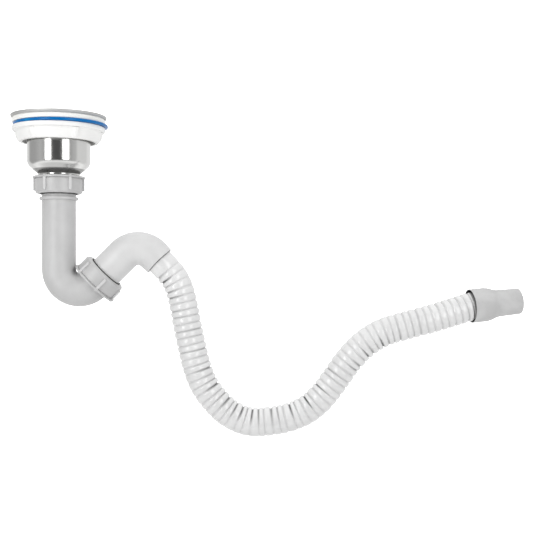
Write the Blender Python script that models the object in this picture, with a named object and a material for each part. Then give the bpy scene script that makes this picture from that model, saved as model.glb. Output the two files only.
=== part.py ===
"""Sink trap with a basket strainer: steel strainer cup, J-shaped trap bend, elbow and corrugated hose.

Metres, +Z up. The origin is the centre of the plane that the sink flange's rim stands on.
The strainer's axis is Z, and the trap runs towards +X.
"""
import math

import bmesh
import bpy
from mathutils import Matrix, Vector

# Gap between two faces that touch on the real thing
SEAT = 0.0003

# Sink flange and cup, drawn from one steel sheet
SHEET = 0.0009
BARREL_RADIUS = 0.0415
BARREL_DEPTH = 0.0205
FLANGE_WIDTH = 0.0155
FLANGE_HEIGHT = 0.0038
FLANGE_FLAT_WIDTH = 0.0095
FLANGE_EDGE = 0.0011
CUP_STEP = 0.00375
CUP_DEPTH = 0.0544
CUP_CORNER = 0.0022
CONE_DEPTH = 0.0132
NECK_PLAY = 0.0036
NECK_LENGTH = 0.0016

# Gasket, seal ring and backing nut below the flange
GASKET_DROP = 0.0052
GASKET_CORNER = 0.0010
RING_THICKNESS = 0.0039
RING_INSET = 0.0007
RING_PLAY = 0.0036
RING_SHIFT = 0.0023
BACKING_FLANGE_WIDTH = 0.0138
BACKING_FLANGE_THICKNESS = 0.0054
BACKING_HEIGHT = 0.0184
BACKING_THREAD_HEIGHT = 0.0078
SKIRT_WIDTH = 0.0095
SKIRT_DRAW_IN = 0.0038
SKIRT_WALL = 0.0026
SKIRT_KNEE_STEP = 0.0009
SKIRT_RIB_HEIGHT = 0.0012
SKIRT_RIB_WIDTH = 0.0050
SKIRT_RIBS = 6

# Pipes: the trap bend, the elbow and their walls
PIPE_RADIUS = 0.0203
PIPE_WALL = 0.0021
BEND_RADIUS = 0.0250
BEND_DEPTH = 0.1815
BEND_ANGLE = math.radians(135)
BEAD_RADIUS = 0.0233
BEAD_WIDTH = 0.0039
BEAD_DROP = 0.0040
BEAD_CHAMFER = 0.0006
ELBOW_GROWTH = 0.0002
ELBOW_WALL = 0.0032
ELBOW_MOUTH_DRAFT = 0.0006
ELBOW_BEND_RADIUS = 0.0255
ELBOW_RISE = 0.0500
ELBOW_RUN = 0.0111

# Threaded ends, slip nuts and tapered washers, alike on both joints
SOCKET_WALL = 0.0032
THREAD_LENGTH = 0.0132
THREAD_RUNOUT = 0.0004
THREAD_START = 0.0012
SOCKET_DEPTH = 0.0082
NUT_LENGTH = 0.0208
NUT_WALL = 0.0042
NUT_FLANGE_WIDTH = 0.0015
NUT_FLANGE_THICKNESS = 0.0026
NUT_TAPER = 0.0008
NUT_CHAMFER = 0.0017
NUT_HOLE_PLAY = 0.0019
NUT_SHOULDER = 0.0020
NUT_RIBS = 6
NUT_RIB_WIDTH = 0.0032
NUT_RIB_RISE = 0.0007
NUT_RIB_LENGTH = 0.0160
NUT_RIB_SLOPE = 0.0012
NUT_RIB_FALL = 0.0003
NUT_EDGE = 0.0005
WASHER_LENGTH = 0.0048
WASHER_TAPER = 0.0014

# Spigot and grid in the cup's neck
SPIGOT_WALL = 0.0049
SPIGOT_LIP = 0.0008
SPIGOT_RISE = 0.0022
GRID_THICKNESS = 0.0012
GRID_BAR_WIDTH = 0.0030
GRID_HUB_RADIUS = 0.0065
GRID_HUB_LENGTH = 0.0030

# Lift-out basket, its post and its stopper
BASKET_SHEET = 0.0008
BASKET_PLAY = 0.00065
BASKET_DRAW_IN = 0.0127
BASKET_HEIGHT = 0.0310
BASKET_HOLE_RADIUS = 0.0023
BASKET_HOLES = 14
BASKET_SHOULDER = 0.0016
BASKET_CORNER = 0.0018
FLOOR_HOLES = 9
STOPPER_RISE = 0.0018
STOPPER_THICKNESS = 0.0040
STOPPER_SKIRT = 0.0004
STOPPER_CROWN_WIDTH = 0.0045
STOPPER_WASHER_RADIUS = 0.0110
STOPPER_WASHER_THICKNESS = 0.0006
STEM_RADIUS = 0.0025
STEM_TAIL = 0.0100
STEM_HEAD_LENGTH = 0.0018
CLIP_WALL = 0.0006
KNOB_RADIUS = 0.0095
KNOB_LENGTH = 0.0112
KNOB_TOP = 0.0012

# Corrugated hose: route chosen along the hose, as (x, y, z)
HOSE_ROUTE = [
    (0.1150, 0, -0.1647), (0.1222, 0, -0.1719), (0.1320, 0, -0.1822), (0.1410, 0, -0.1945),
    (0.1472, 0, -0.2090), (0.1520, 0, -0.2290), (0.1561, 0, -0.2505), (0.1610, 0, -0.2735),
    (0.1668, 0, -0.2975), (0.1752, 0, -0.3195), (0.1890, 0, -0.3395), (0.2075, 0, -0.3565),
    (0.2310, 0, -0.3662), (0.2580, 0, -0.3655), (0.2825, 0, -0.3600), (0.3030, 0, -0.3500),
    (0.3200, 0, -0.3345), (0.3360, 0, -0.3135), (0.3515, 0, -0.2920), (0.3700, 0, -0.2730),
    (0.3930, 0, -0.2585), (0.4210, 0, -0.2497), (0.4480, 0, -0.2422), (0.4700, 0.0008, -0.2354),
    (0.4870, 0.0021, -0.2299), (0.49805, 0.00351, -0.22674), (0.50937, 0.0052, -0.22564),
    (0.5202, 0.00682, -0.22459),
]
HOSE_CREST = 0.0005
HOSE_VALLEY = 0.0019
HOSE_WALL = 0.0012
HOSE_PITCH = 0.0085
HOSE_CUFF_LENGTH = 0.0262
HOSE_END_CUFF_LENGTH = 0.0120

# Rubber adapter on the hose's end
ADAPTER_LENGTH = 0.0625
ADAPTER_SLEEVE = 0.0033
ADAPTER_WIDE_LENGTH = 0.0225
ADAPTER_SHOULDER_LENGTH = 0.0090
ADAPTER_STEP = 0.0041
ADAPTER_TAPER = 0.0007
ADAPTER_WALL = 0.0021
ADAPTER_OVERLAP = 0.0205
ADAPTER_MOUTH_LENGTH = 0.0080
ADAPTER_MOUTH_SLOPE = 0.0020
ADAPTER_EDGE = 0.0005
ADAPTER_FILLET = 0.0015

# Sides of the round pieces
LARGE_SIDES = 28
PIPE_SIDES = 20
SMALL_SIDES = 14
HOSE_SIDES = 12

# Radii worked out from the sizes above
FLANGE_RADIUS = BARREL_RADIUS + FLANGE_WIDTH
FLAT_RADIUS = FLANGE_RADIUS - FLANGE_FLAT_WIDTH
CUP_RADIUS = BARREL_RADIUS - CUP_STEP
BACKING_FLANGE_RADIUS = BARREL_RADIUS + BACKING_FLANGE_WIDTH
SKIRT_TOP_RADIUS = BARREL_RADIUS + SKIRT_WIDTH
SKIRT_END_RADIUS = SKIRT_TOP_RADIUS - SKIRT_DRAW_IN
NECK_RADIUS = PIPE_RADIUS + NECK_PLAY
SPIGOT_BORE = NECK_RADIUS - SHEET - SEAT - SPIGOT_WALL
ELBOW_RADIUS = PIPE_RADIUS + ELBOW_GROWTH
ELBOW_MOUTH_RADIUS = ELBOW_RADIUS - ELBOW_MOUTH_DRAFT
THREAD_RADIUS = ELBOW_RADIUS + SEAT + SOCKET_WALL
NUT_BODY_RADIUS = THREAD_RADIUS + SEAT + NUT_WALL
NUT_FLANGE_RADIUS = NUT_BODY_RADIUS + NUT_FLANGE_WIDTH
NUT_HOLE_RADIUS = ELBOW_RADIUS + NUT_HOLE_PLAY
BASKET_RIM_RADIUS = CUP_RADIUS - SHEET - BASKET_PLAY
BASKET_FLOOR_RADIUS = BASKET_RIM_RADIUS - BASKET_DRAW_IN
HOSE_CUFF_RADIUS = ELBOW_RADIUS - ELBOW_WALL - SEAT
HOSE_RADIUS = HOSE_CUFF_RADIUS + HOSE_CREST
ADAPTER_RADIUS = HOSE_CUFF_RADIUS + SEAT + ADAPTER_SLEEVE
ADAPTER_NECK_RADIUS = ADAPTER_RADIUS - ADAPTER_STEP
ADAPTER_END_RADIUS = ADAPTER_NECK_RADIUS - ADAPTER_TAPER

# Heights worked out from the sizes above
BACKING_TOP = -(GASKET_DROP + SEAT + RING_THICKNESS + SEAT)
NECK_TOP = -(CUP_DEPTH + CONE_DEPTH)
NECK_END = NECK_TOP - NECK_LENGTH
THREAD_END = NECK_END - SEAT - THREAD_LENGTH
PIPE_TOP = THREAD_END + SOCKET_DEPTH
SPIGOT_TOP = NECK_TOP + SPIGOT_RISE
GRID_TOP = SPIGOT_TOP + SEAT + GRID_THICKNESS
CONE_SLOPE = (CUP_RADIUS - NECK_RADIUS) / CONE_DEPTH
STOPPER_BOTTOM = GRID_TOP + STOPPER_RISE
STOPPER_RADIUS = NECK_RADIUS - SHEET - SEAT + (STOPPER_BOTTOM - NECK_TOP) * CONE_SLOPE
BASKET_BOTTOM = STOPPER_BOTTOM + STOPPER_THICKNESS + SEAT
NUT_DEPTH = NUT_LENGTH - NUT_SHOULDER

BEND_START = Matrix.Translation((0, 0, -BEND_DEPTH)) @ Matrix.Rotation(math.pi, 4, "X")
ARM_TILT = math.pi - BEND_ANGLE


def material(name, colour, roughness, metallic=0.0):
    """A plain Principled finish."""
    made = bpy.data.materials.new(name)
    made.use_nodes = True
    shader = made.node_tree.nodes["Principled BSDF"]
    shader.inputs["Base Color"].default_value = (*colour, 1)
    shader.inputs["Roughness"].default_value = roughness
    shader.inputs["Metallic"].default_value = metallic
    made.diffuse_color = (*colour, 1)
    return made


def finish(name, bm, surface):
    """Turns a bmesh into a named object with its own material."""
    mesh = bpy.data.meshes.new(name)
    bm.to_mesh(mesh)
    bm.free()
    mesh.shade_smooth()
    mesh.set_sharp_from_angle(angle=math.radians(35))
    piece = bpy.data.objects.new(name, mesh)
    bpy.context.scene.collection.objects.link(piece)
    if surface is not None:
        mesh.materials.append(surface)
    return piece


def turned(name, outline, sides, surface, closed=True):
    """Spins an outline of (radius, height) points about Z. An open one starts and ends on the axis."""
    bm = bmesh.new()
    points = [bm.verts.new((radius, 0, height)) for radius, height in outline]
    ends = points[1:] + points[:1] if closed else points[1:]
    edges = [bm.edges.new(pair) for pair in zip(points, ends)]
    bmesh.ops.spin(
        bm, geom=points + edges, cent=(0, 0, 0), axis=(0, 0, 1), angle=math.tau, steps=sides, use_merge=True
    )
    bmesh.ops.remove_doubles(bm, verts=bm.verts, dist=1e-6)
    bmesh.ops.recalc_face_normals(bm, faces=bm.faces)
    return finish(name, bm, surface)


def drawn_sheet(name, profile, sides, thickness, surface):
    """Spins the inner face of a drawn sheet, from rim to centre, and thickens it outwards."""
    bm = bmesh.new()
    points = [bm.verts.new((radius, 0, height)) for radius, height in profile]
    edges = [bm.edges.new(pair) for pair in zip(points, points[1:])]
    bmesh.ops.spin(
        bm, geom=points + edges, cent=(0, 0, 0), axis=(0, 0, 1), angle=math.tau, steps=sides, use_merge=True
    )
    bmesh.ops.remove_doubles(bm, verts=bm.verts, dist=1e-6)
    upward = max(bm.faces, key=lambda face: abs(face.normal.z)).normal.z
    if upward < 0:
        bmesh.ops.reverse_faces(bm, faces=bm.faces)
    piece = finish(name, bm, surface)
    wall = piece.modifiers.new("Sheet", "SOLIDIFY")
    wall.thickness = thickness
    wall.offset = -1
    wall.use_even_offset = True
    return piece


def skinned(name, loops, surface, bm):
    """Covers closed loops of corners with faces, one after the other, and the last one to the first."""
    for one, following in zip(loops, loops[1:] + loops[:1]):
        for corner in range(len(one)):
            bm.faces.new((one[corner - 1], one[corner], following[corner], following[corner - 1]))
    bmesh.ops.recalc_face_normals(bm, faces=bm.faces)
    return finish(name, bm, surface)


def lofted(name, rings, sides, surface):
    """A tube wall through (frame, radius) rings: down its outer face and back up its bore."""
    bm = bmesh.new()
    loops = []
    for frame, radius in rings:
        loops.append(bmesh.ops.create_circle(bm, segments=sides, radius=radius, matrix=frame)["verts"])
    return skinned(name, loops, surface, bm)


def ribbed(name, plain, raised, ribs, rib_width, reach, between, surface):
    """A ring with grip ribs: plain and raised outlines joined in turn round the Z axis."""
    half_rib = 0.5 * rib_width / reach
    flank = 0.12 * rib_width / reach
    spread = math.tau / ribs
    turns = []
    for rib in range(ribs):
        middle = rib * spread
        turns += [(middle - half_rib - flank, plain), (middle - half_rib, raised)]
        turns += [(middle + half_rib, raised), (middle + half_rib + flank, plain)]
        gap = spread - 2 * (half_rib + flank)
        turns += [(middle + half_rib + flank + gap * k / between, plain) for k in range(1, between)]
    bm = bmesh.new()
    loops = []
    for angle, outline in turns:
        side = Matrix.Rotation(angle, 4, "Z")
        loops.append([bm.verts.new(side @ Vector((radius, 0, height))) for radius, height in outline])
    return skinned(name, loops, surface, bm)


def bent_line(start, distance, radius, angle):
    """Frame at a distance along a line that runs to start, bends towards its X, and runs on."""
    turn = min(max(distance / radius, 0), angle)
    before = min(distance, 0)
    after = max(distance - radius * angle, 0)
    pivot = Matrix.Translation((radius, 0, before)) @ Matrix.Rotation(turn, 4, "Y")
    return start @ pivot @ Matrix.Translation((-radius, 0, after))


def stations(length, steps):
    """Evenly spaced distances round a bend, its two ends among them."""
    return [length * step / steps for step in range(steps + 1)]


def set_modifier(piece, operation, tool):
    """Adds an exact Boolean and leaves its tool out of the model."""
    change = piece.modifiers.new(tool.name, "BOOLEAN")
    change.operation = operation
    change.object = tool
    change.solver = "EXACT"
    tool.hide_render = True
    tool.display_type = "WIRE"


def hang(piece, carrier):
    """Parents a piece to a carrier and keeps its place."""
    bpy.context.view_layer.update()
    piece.parent = carrier
    piece.matrix_parent_inverse = carrier.matrix_world.inverted()


def empty(name, frame, carrier=None):
    """An empty on a joint's axis."""
    made = bpy.data.objects.new(name, None)
    bpy.context.scene.collection.objects.link(made)
    made.matrix_world = frame
    if carrier is not None:
        hang(made, carrier)
    return made


def make_strainer_body(steel):
    """Flange, barrel, cup, cone and neck, listed down the face that the water meets."""
    barrel = BARREL_RADIUS - SHEET
    cup = CUP_RADIUS - SHEET
    neck = NECK_RADIUS - SHEET
    lead = FLAT_RADIUS - barrel
    profile = [
        (FLANGE_RADIUS, 0),
        (FLANGE_RADIUS, FLANGE_HEIGHT - FLANGE_EDGE),
        (FLANGE_RADIUS - FLANGE_EDGE, FLANGE_HEIGHT),
        (FLAT_RADIUS, FLANGE_HEIGHT),
        (barrel + 0.40 * lead, 0.60 * FLANGE_HEIGHT),
        (barrel + 0.10 * lead, 0),
        (barrel, -0.5 * lead),
        (barrel, -BARREL_DEPTH),
        (cup + 0.2 * (barrel - cup), -BARREL_DEPTH - 0.4 * (barrel - cup)),
        (cup, -BARREL_DEPTH - (barrel - cup)),
        (cup, -CUP_DEPTH + CUP_CORNER),
        (cup - 0.25 * CUP_CORNER, -CUP_DEPTH),
        (neck, NECK_TOP),
        (neck, NECK_END),
    ]
    return drawn_sheet("strainer_body", profile, LARGE_SIDES, SHEET, steel)


def make_flange_gasket(foam):
    top = FLANGE_HEIGHT - SHEET - SEAT
    outer = FLANGE_RADIUS - SHEET - SEAT
    inner = FLAT_RADIUS + SEAT
    outline = [
        (inner, -GASKET_DROP),
        (outer, -GASKET_DROP),
        (outer, top - GASKET_CORNER),
        (outer - GASKET_CORNER, top),
        (inner, top),
    ]
    return turned("flange_gasket", outline, LARGE_SIDES, foam)


def make_seal_ring(rubber):
    top = -GASKET_DROP - SEAT
    bottom = top - RING_THICKNESS
    edge = 0.25 * RING_THICKNESS
    inner = BARREL_RADIUS + RING_PLAY
    outer = FLANGE_RADIUS - RING_INSET
    outline = [
        (inner, bottom),
        (outer - edge, bottom),
        (outer, bottom + edge),
        (outer, top - edge),
        (outer - edge, top),
        (inner, top),
    ]
    ring = turned("seal_ring", outline, LARGE_SIDES, rubber)
    ring.location.x = RING_SHIFT
    return ring


def backing_outline(rise):
    """Section of the backing nut with its skirt raised by a rib's height."""
    bore = BARREL_RADIUS + SEAT
    edge = 0.12 * BACKING_FLANGE_THICKNESS
    flange_bottom = BACKING_TOP - BACKING_FLANGE_THICKNESS
    thread_bottom = BACKING_TOP - BACKING_THREAD_HEIGHT
    bottom = BACKING_TOP - BACKING_HEIGHT
    knee = bottom + 0.35 * (flange_bottom - bottom)
    knee_radius = SKIRT_TOP_RADIUS - SKIRT_KNEE_STEP
    return [
        (bore, BACKING_TOP),
        (BACKING_FLANGE_RADIUS - edge, BACKING_TOP),
        (BACKING_FLANGE_RADIUS, BACKING_TOP - edge),
        (BACKING_FLANGE_RADIUS, flange_bottom + edge),
        (BACKING_FLANGE_RADIUS - edge, flange_bottom),
        (SKIRT_TOP_RADIUS + rise, flange_bottom),
        (knee_radius + rise, knee),
        (SKIRT_END_RADIUS + 0.5 * rise, bottom),
        (SKIRT_END_RADIUS - SKIRT_WALL, bottom),
        (knee_radius - SKIRT_WALL, knee),
        (SKIRT_TOP_RADIUS - SKIRT_WALL, thread_bottom),
        (bore, thread_bottom),
    ]


def make_backing_nut(plastic):
    nut = ribbed(
        "backing_nut", backing_outline(0), backing_outline(SKIRT_RIB_HEIGHT),
        SKIRT_RIBS, SKIRT_RIB_WIDTH, SKIRT_TOP_RADIUS, 4, plastic,
    )
    nut.rotation_euler.z = math.radians(6)
    return nut


def make_outlet_spigot(metal):
    """Sleeve in the neck: a lip on the cone above, the slip nut's thread below."""
    neck = NECK_RADIUS - SHEET - SEAT
    lip_depth = SPIGOT_TOP - SPIGOT_LIP
    lip = NECK_RADIUS - SHEET + (lip_depth - NECK_TOP) * CONE_SLOPE - 1.5 * SEAT
    outline = [
        (SPIGOT_BORE, SPIGOT_TOP),
        (lip, SPIGOT_TOP),
        (lip, lip_depth),
        (neck, NECK_TOP),
        (neck, NECK_END - SEAT),
        (THREAD_RADIUS, NECK_END - SEAT),
        (THREAD_RADIUS, THREAD_END),
        (PIPE_RADIUS + SEAT, THREAD_END),
        (PIPE_RADIUS + SEAT, PIPE_TOP + SEAT),
        (SPIGOT_BORE, PIPE_TOP + SEAT),
    ]
    return turned("outlet_spigot", outline, PIPE_SIDES, metal)


def make_outlet_grid(steel):
    """Pressed ring, cross bars and hub, with the hole that the basket's post clips into."""
    bottom = SPIGOT_TOP + SEAT
    rim = NECK_RADIUS - SHEET + (bottom - NECK_TOP) * CONE_SLOPE - 1.5 * SEAT
    ring = [(SPIGOT_BORE, bottom), (rim, bottom), (rim, GRID_TOP), (SPIGOT_BORE, GRID_TOP)]
    grid = turned("outlet_grid", ring, PIPE_SIDES, steel)
    for number in range(2):
        bm = bmesh.new()
        bmesh.ops.create_cube(bm, size=1)
        length = SPIGOT_BORE + rim
        bmesh.ops.scale(bm, verts=bm.verts, vec=(length, GRID_BAR_WIDTH, 0.8 * GRID_THICKNESS))
        bar = finish(f"grid_bar_tool_{number}", bm, None)
        bar.location.z = bottom + 0.5 * GRID_THICKNESS
        bar.rotation_euler.z = math.radians(45 + 90 * number)
        set_modifier(grid, "UNION", bar)
    hub_bottom = GRID_TOP - GRID_HUB_LENGTH
    hub_outline = [(0, hub_bottom), (GRID_HUB_RADIUS, hub_bottom), (GRID_HUB_RADIUS, GRID_TOP), (0, GRID_TOP)]
    set_modifier(grid, "UNION", turned("grid_hub_tool", hub_outline, SMALL_SIDES, None, closed=False))
    hole = STEM_RADIUS + CLIP_WALL + 2 * SEAT
    low = hub_bottom - GRID_THICKNESS
    high = GRID_TOP + GRID_THICKNESS
    hole_outline = [(0, low), (hole, low), (hole, high), (0, high)]
    set_modifier(grid, "DIFFERENCE", turned("grid_hole_tool", hole_outline, SMALL_SIDES, None, closed=False))
    return grid


def nut_outline(rib):
    """Section of a slip nut, from its wide end at height 0 to its narrow end."""
    bore = THREAD_RADIUS + SEAT
    edge = 0.2 * NUT_FLANGE_THICKNESS
    narrow = NUT_BODY_RADIUS - NUT_TAPER
    crest = NUT_FLANGE_RADIUS if rib else NUT_BODY_RADIUS
    crest_end = NUT_FLANGE_RADIUS - NUT_RIB_FALL if rib else narrow
    base = -NUT_RIB_RISE if rib else 0
    return [
        (bore, 0),
        (NUT_BODY_RADIUS - NUT_EDGE, base),
        (NUT_FLANGE_RADIUS - edge, base),
        (NUT_FLANGE_RADIUS, edge),
        (NUT_FLANGE_RADIUS, NUT_FLANGE_THICKNESS),
        (crest, NUT_FLANGE_THICKNESS + 0.5 * NUT_EDGE),
        (crest_end, NUT_RIB_LENGTH - NUT_RIB_SLOPE),
        (narrow, NUT_RIB_LENGTH),
        (narrow, NUT_LENGTH - NUT_CHAMFER),
        (narrow - NUT_CHAMFER, NUT_LENGTH),
        (NUT_HOLE_RADIUS, NUT_LENGTH),
        (NUT_HOLE_RADIUS, NUT_DEPTH),
        (bore, NUT_DEPTH),
    ]


def make_slip_nut(name, plastic):
    return ribbed(
        name, nut_outline(False), nut_outline(True), NUT_RIBS, NUT_RIB_WIDTH, NUT_BODY_RADIUS, 3, plastic
    )


def make_washer(name, pipe_radius, rubber):
    """Tapered washer between a threaded end and a nut's shoulder, its wide end at height 0."""
    bore = pipe_radius + SEAT
    outline = [
        (bore, 0),
        (THREAD_RADIUS, 0),
        (THREAD_RADIUS, WASHER_LENGTH - WASHER_TAPER),
        (THREAD_RADIUS - WASHER_TAPER, WASHER_LENGTH),
        (bore, WASHER_LENGTH),
    ]
    return turned(name, outline, PIPE_SIDES, rubber)


def make_trap_bend(plastic):
    """J-shaped pipe: tail up to the spigot, 135 degree bend and threaded socket."""
    arc = BEND_RADIUS * BEND_ANGLE
    top = PIPE_TOP + BEND_DEPTH
    bead_top = THREAD_END - WASHER_LENGTH - 2 * SEAT - NUT_SHOULDER - BEAD_DROP + BEND_DEPTH
    bore = PIPE_RADIUS - PIPE_WALL
    socket = ELBOW_RADIUS + SEAT
    end = arc + THREAD_LENGTH
    outside = [(-top, PIPE_RADIUS)]
    bead_bottom = bead_top - BEAD_WIDTH
    outside += [(-bead_top, PIPE_RADIUS), (BEAD_CHAMFER - bead_top, BEAD_RADIUS)]
    outside += [(-BEAD_CHAMFER - bead_bottom, BEAD_RADIUS), (-bead_bottom, PIPE_RADIUS)]
    outside += [(distance, PIPE_RADIUS) for distance in stations(arc, 10)]
    thread = arc + THREAD_START
    outside += [(thread, PIPE_RADIUS), (thread + THREAD_RUNOUT, THREAD_RADIUS), (end, THREAD_RADIUS)]
    inside = [(end, socket), (end - SOCKET_DEPTH, socket), (end - SOCKET_DEPTH, bore)]
    inside += [(distance, bore) for distance in reversed(stations(arc, 8))] + [(-top, bore)]
    rings = [(bent_line(BEND_START, s, BEND_RADIUS, BEND_ANGLE), radius) for s, radius in outside + inside]
    return lofted("trap_bend", rings, PIPE_SIDES, plastic)


def make_trap_elbow(arm, plastic):
    """Right-angled elbow from the socket, up the arm's axis and over to the hose."""
    start = arm @ Matrix.Translation((0, 0, ELBOW_RISE))
    arc = ELBOW_BEND_RADIUS * math.pi / 2
    inlet = THREAD_LENGTH - SOCKET_DEPTH + SEAT - ELBOW_RISE
    mouth = arc + ELBOW_RUN
    bore = HOSE_CUFF_RADIUS + SEAT
    outside = [(inlet, ELBOW_RADIUS)] + [(distance, ELBOW_RADIUS) for distance in stations(arc, 7)]
    outside += [(mouth, ELBOW_MOUTH_RADIUS)]
    inside = [(mouth, bore)] + [(distance, bore) for distance in reversed(stations(arc, 7))]
    inside += [(inlet, bore)]
    rings = [(bent_line(start, s, ELBOW_BEND_RADIUS, math.pi / 2), radius) for s, radius in outside + inside]
    return lofted("trap_elbow", rings, PIPE_SIDES, plastic)


def smooth_route(points, steps=12):
    """Points on a Catmull-Rom curve through the route's own points."""
    knots = [Vector(point) for point in points]
    knots = [2 * knots[0] - knots[1]] + knots + [2 * knots[-1] - knots[-2]]
    path = []
    for a, b, c, d in zip(knots, knots[1:], knots[2:], knots[3:]):
        for step in range(steps):
            t = step / steps
            path.append(0.5 * (2 * b + (c - a) * t + (2 * a - 5 * b + 4 * c - d) * t**2
                               + (3 * b - a - 3 * c + d) * t**3))
    return path + [knots[-2]]


def route_frame(path, distance):
    """Frame at a distance along the route, its Z pointing along it and its X kept near world Y."""
    for start, end in zip(path, path[1:]):
        length = (end - start).length
        if distance <= length or end is path[-1]:
            break
        distance -= length
    heading = (end - start).normalized()
    across = (Vector((0, 1, 0)) - heading * heading.y).normalized()
    rotation = Matrix((across, heading.cross(across), heading)).transposed().to_4x4()
    return Matrix.Translation(start + heading * distance) @ rotation


def hose_length(path):
    return sum((end - start).length for start, end in zip(path, path[1:]))


def make_hose(path, plastic):
    """Smooth cuffs at both ends and convolutions between them, round one even bore."""
    length = hose_length(path)
    bore = HOSE_RADIUS - HOSE_VALLEY - HOSE_WALL
    run = length - HOSE_CUFF_LENGTH - HOSE_END_CUFF_LENGTH
    waves = round(run / HOSE_PITCH)
    pitch = run / waves
    outside = [(0, HOSE_CUFF_RADIUS)]
    for wave in range(waves):
        start = HOSE_CUFF_LENGTH + wave * pitch
        outside += [(start, HOSE_RADIUS - HOSE_VALLEY), (start + 0.5 * pitch, HOSE_RADIUS)]
    outside[1:1] = [(HOSE_CUFF_LENGTH - 0.3 * pitch, HOSE_CUFF_RADIUS)]
    outside += [(length - HOSE_END_CUFF_LENGTH, HOSE_RADIUS - HOSE_VALLEY)]
    outside += [(length - HOSE_END_CUFF_LENGTH + 0.3 * pitch, HOSE_CUFF_RADIUS), (length, HOSE_CUFF_RADIUS)]
    inside = [(distance, bore) for distance in reversed(stations(length, 40))]
    rings = [(route_frame(path, distance), radius) for distance, radius in outside + inside]
    return lofted("flexible_hose", rings, HOSE_SIDES, plastic)


def make_adapter(path, rubber):
    """Stepped rubber cone, pushed over the hose's end cuff, its mouth at height 0."""
    seat = HOSE_CUFF_RADIUS + SEAT
    mouth = ADAPTER_RADIUS - 0.8 * ADAPTER_WALL
    step = ADAPTER_OVERLAP + SEAT
    neck_start = ADAPTER_WIDE_LENGTH + ADAPTER_SHOULDER_LENGTH
    neck_bore = ADAPTER_NECK_RADIUS - ADAPTER_WALL
    outline = [
        (mouth, 0),
        (ADAPTER_RADIUS - ADAPTER_EDGE, 0),
        (ADAPTER_RADIUS, ADAPTER_EDGE),
        (ADAPTER_RADIUS, ADAPTER_WIDE_LENGTH - ADAPTER_FILLET),
        (ADAPTER_RADIUS - ADAPTER_EDGE, ADAPTER_WIDE_LENGTH),
        (ADAPTER_NECK_RADIUS + ADAPTER_EDGE, neck_start),
        (ADAPTER_NECK_RADIUS, neck_start + ADAPTER_FILLET),
        (ADAPTER_END_RADIUS, ADAPTER_LENGTH),
        (ADAPTER_END_RADIUS - ADAPTER_WALL, ADAPTER_LENGTH),
        (neck_bore, neck_start),
        (neck_bore, step),
        (seat, step),
        (seat, ADAPTER_MOUTH_LENGTH + ADAPTER_MOUTH_SLOPE),
        (mouth, ADAPTER_MOUTH_LENGTH),
    ]
    adapter = turned("end_adapter", outline, PIPE_SIDES, rubber)
    hose_end = route_frame(path, hose_length(path))
    adapter.matrix_world = hose_end @ Matrix.Translation((0, 0, -ADAPTER_OVERLAP))
    return adapter


def make_basket(steel):
    """Tapered basket with a rolled rim, rows of holes round its wall and a ring of holes in its floor."""
    floor = BASKET_BOTTOM + BASKET_SHEET
    top = BASKET_BOTTOM + BASKET_HEIGHT
    rim = BASKET_RIM_RADIUS - BASKET_SHEET
    profile = [
        (rim, top),
        (rim, top - BASKET_SHOULDER),
        (rim - BASKET_SHOULDER, top - 2 * BASKET_SHOULDER),
        (BASKET_FLOOR_RADIUS, floor + BASKET_CORNER),
        (BASKET_FLOOR_RADIUS - BASKET_CORNER, floor),
        (STEM_RADIUS + SEAT, floor),
    ]
    basket = drawn_sheet("strainer_basket", profile, LARGE_SIDES, BASKET_SHEET, steel)
    reach_through = 15 * BASKET_SHEET
    bm = bmesh.new()
    for row, share in enumerate((0.30, 0.60)):
        for hole in range(BASKET_HOLES):
            turn = Matrix.Rotation(math.tau * (hole + 0.5 * row) / BASKET_HOLES, 4, "Z")
            reach = BASKET_FLOOR_RADIUS + share * (rim - BASKET_FLOOR_RADIUS)
            place = turn @ Matrix.Translation((reach, 0, floor + share * BASKET_HEIGHT))
            bmesh.ops.create_cone(
                bm, cap_ends=True, segments=6, radius1=BASKET_HOLE_RADIUS, radius2=BASKET_HOLE_RADIUS,
                depth=reach_through, matrix=place @ Matrix.Rotation(math.pi / 2, 4, "Y"),
            )
    for hole in range(FLOOR_HOLES):
        turn = Matrix.Rotation(math.tau * hole / FLOOR_HOLES, 4, "Z")
        bmesh.ops.create_cone(
            bm, cap_ends=True, segments=6, radius1=BASKET_HOLE_RADIUS, radius2=BASKET_HOLE_RADIUS,
            depth=reach_through, matrix=turn @ Matrix.Translation((0.65 * BASKET_FLOOR_RADIUS, 0, floor)),
        )
    set_modifier(basket, "DIFFERENCE", finish("basket_hole_tool", bm, None))
    return basket


def make_stopper(rubber):
    bore = STEM_RADIUS + SEAT
    top = STOPPER_BOTTOM + STOPPER_THICKNESS
    bottom = STOPPER_BOTTOM - STOPPER_SKIRT
    outline = [
        (bore, bottom),
        (STOPPER_RADIUS - 0.5 * STOPPER_CROWN_WIDTH, bottom),
        (STOPPER_RADIUS, STOPPER_BOTTOM + STOPPER_SKIRT),
        (STOPPER_RADIUS - STOPPER_SKIRT, top - 0.35 * STOPPER_THICKNESS),
        (STOPPER_RADIUS - STOPPER_CROWN_WIDTH, top),
        (bore, top),
    ]
    return turned("basket_stopper", outline, LARGE_SIDES, rubber)


def make_stopper_washer(steel):
    bore = STEM_RADIUS + SEAT
    top = STOPPER_BOTTOM - STOPPER_SKIRT - SEAT
    bottom = top - STOPPER_WASHER_THICKNESS
    edge = STOPPER_WASHER_RADIUS
    outline = [(bore, bottom), (edge, bottom), (edge, top), (bore, top)]
    return turned("stopper_washer", outline, PIPE_SIDES, steel)


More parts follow.
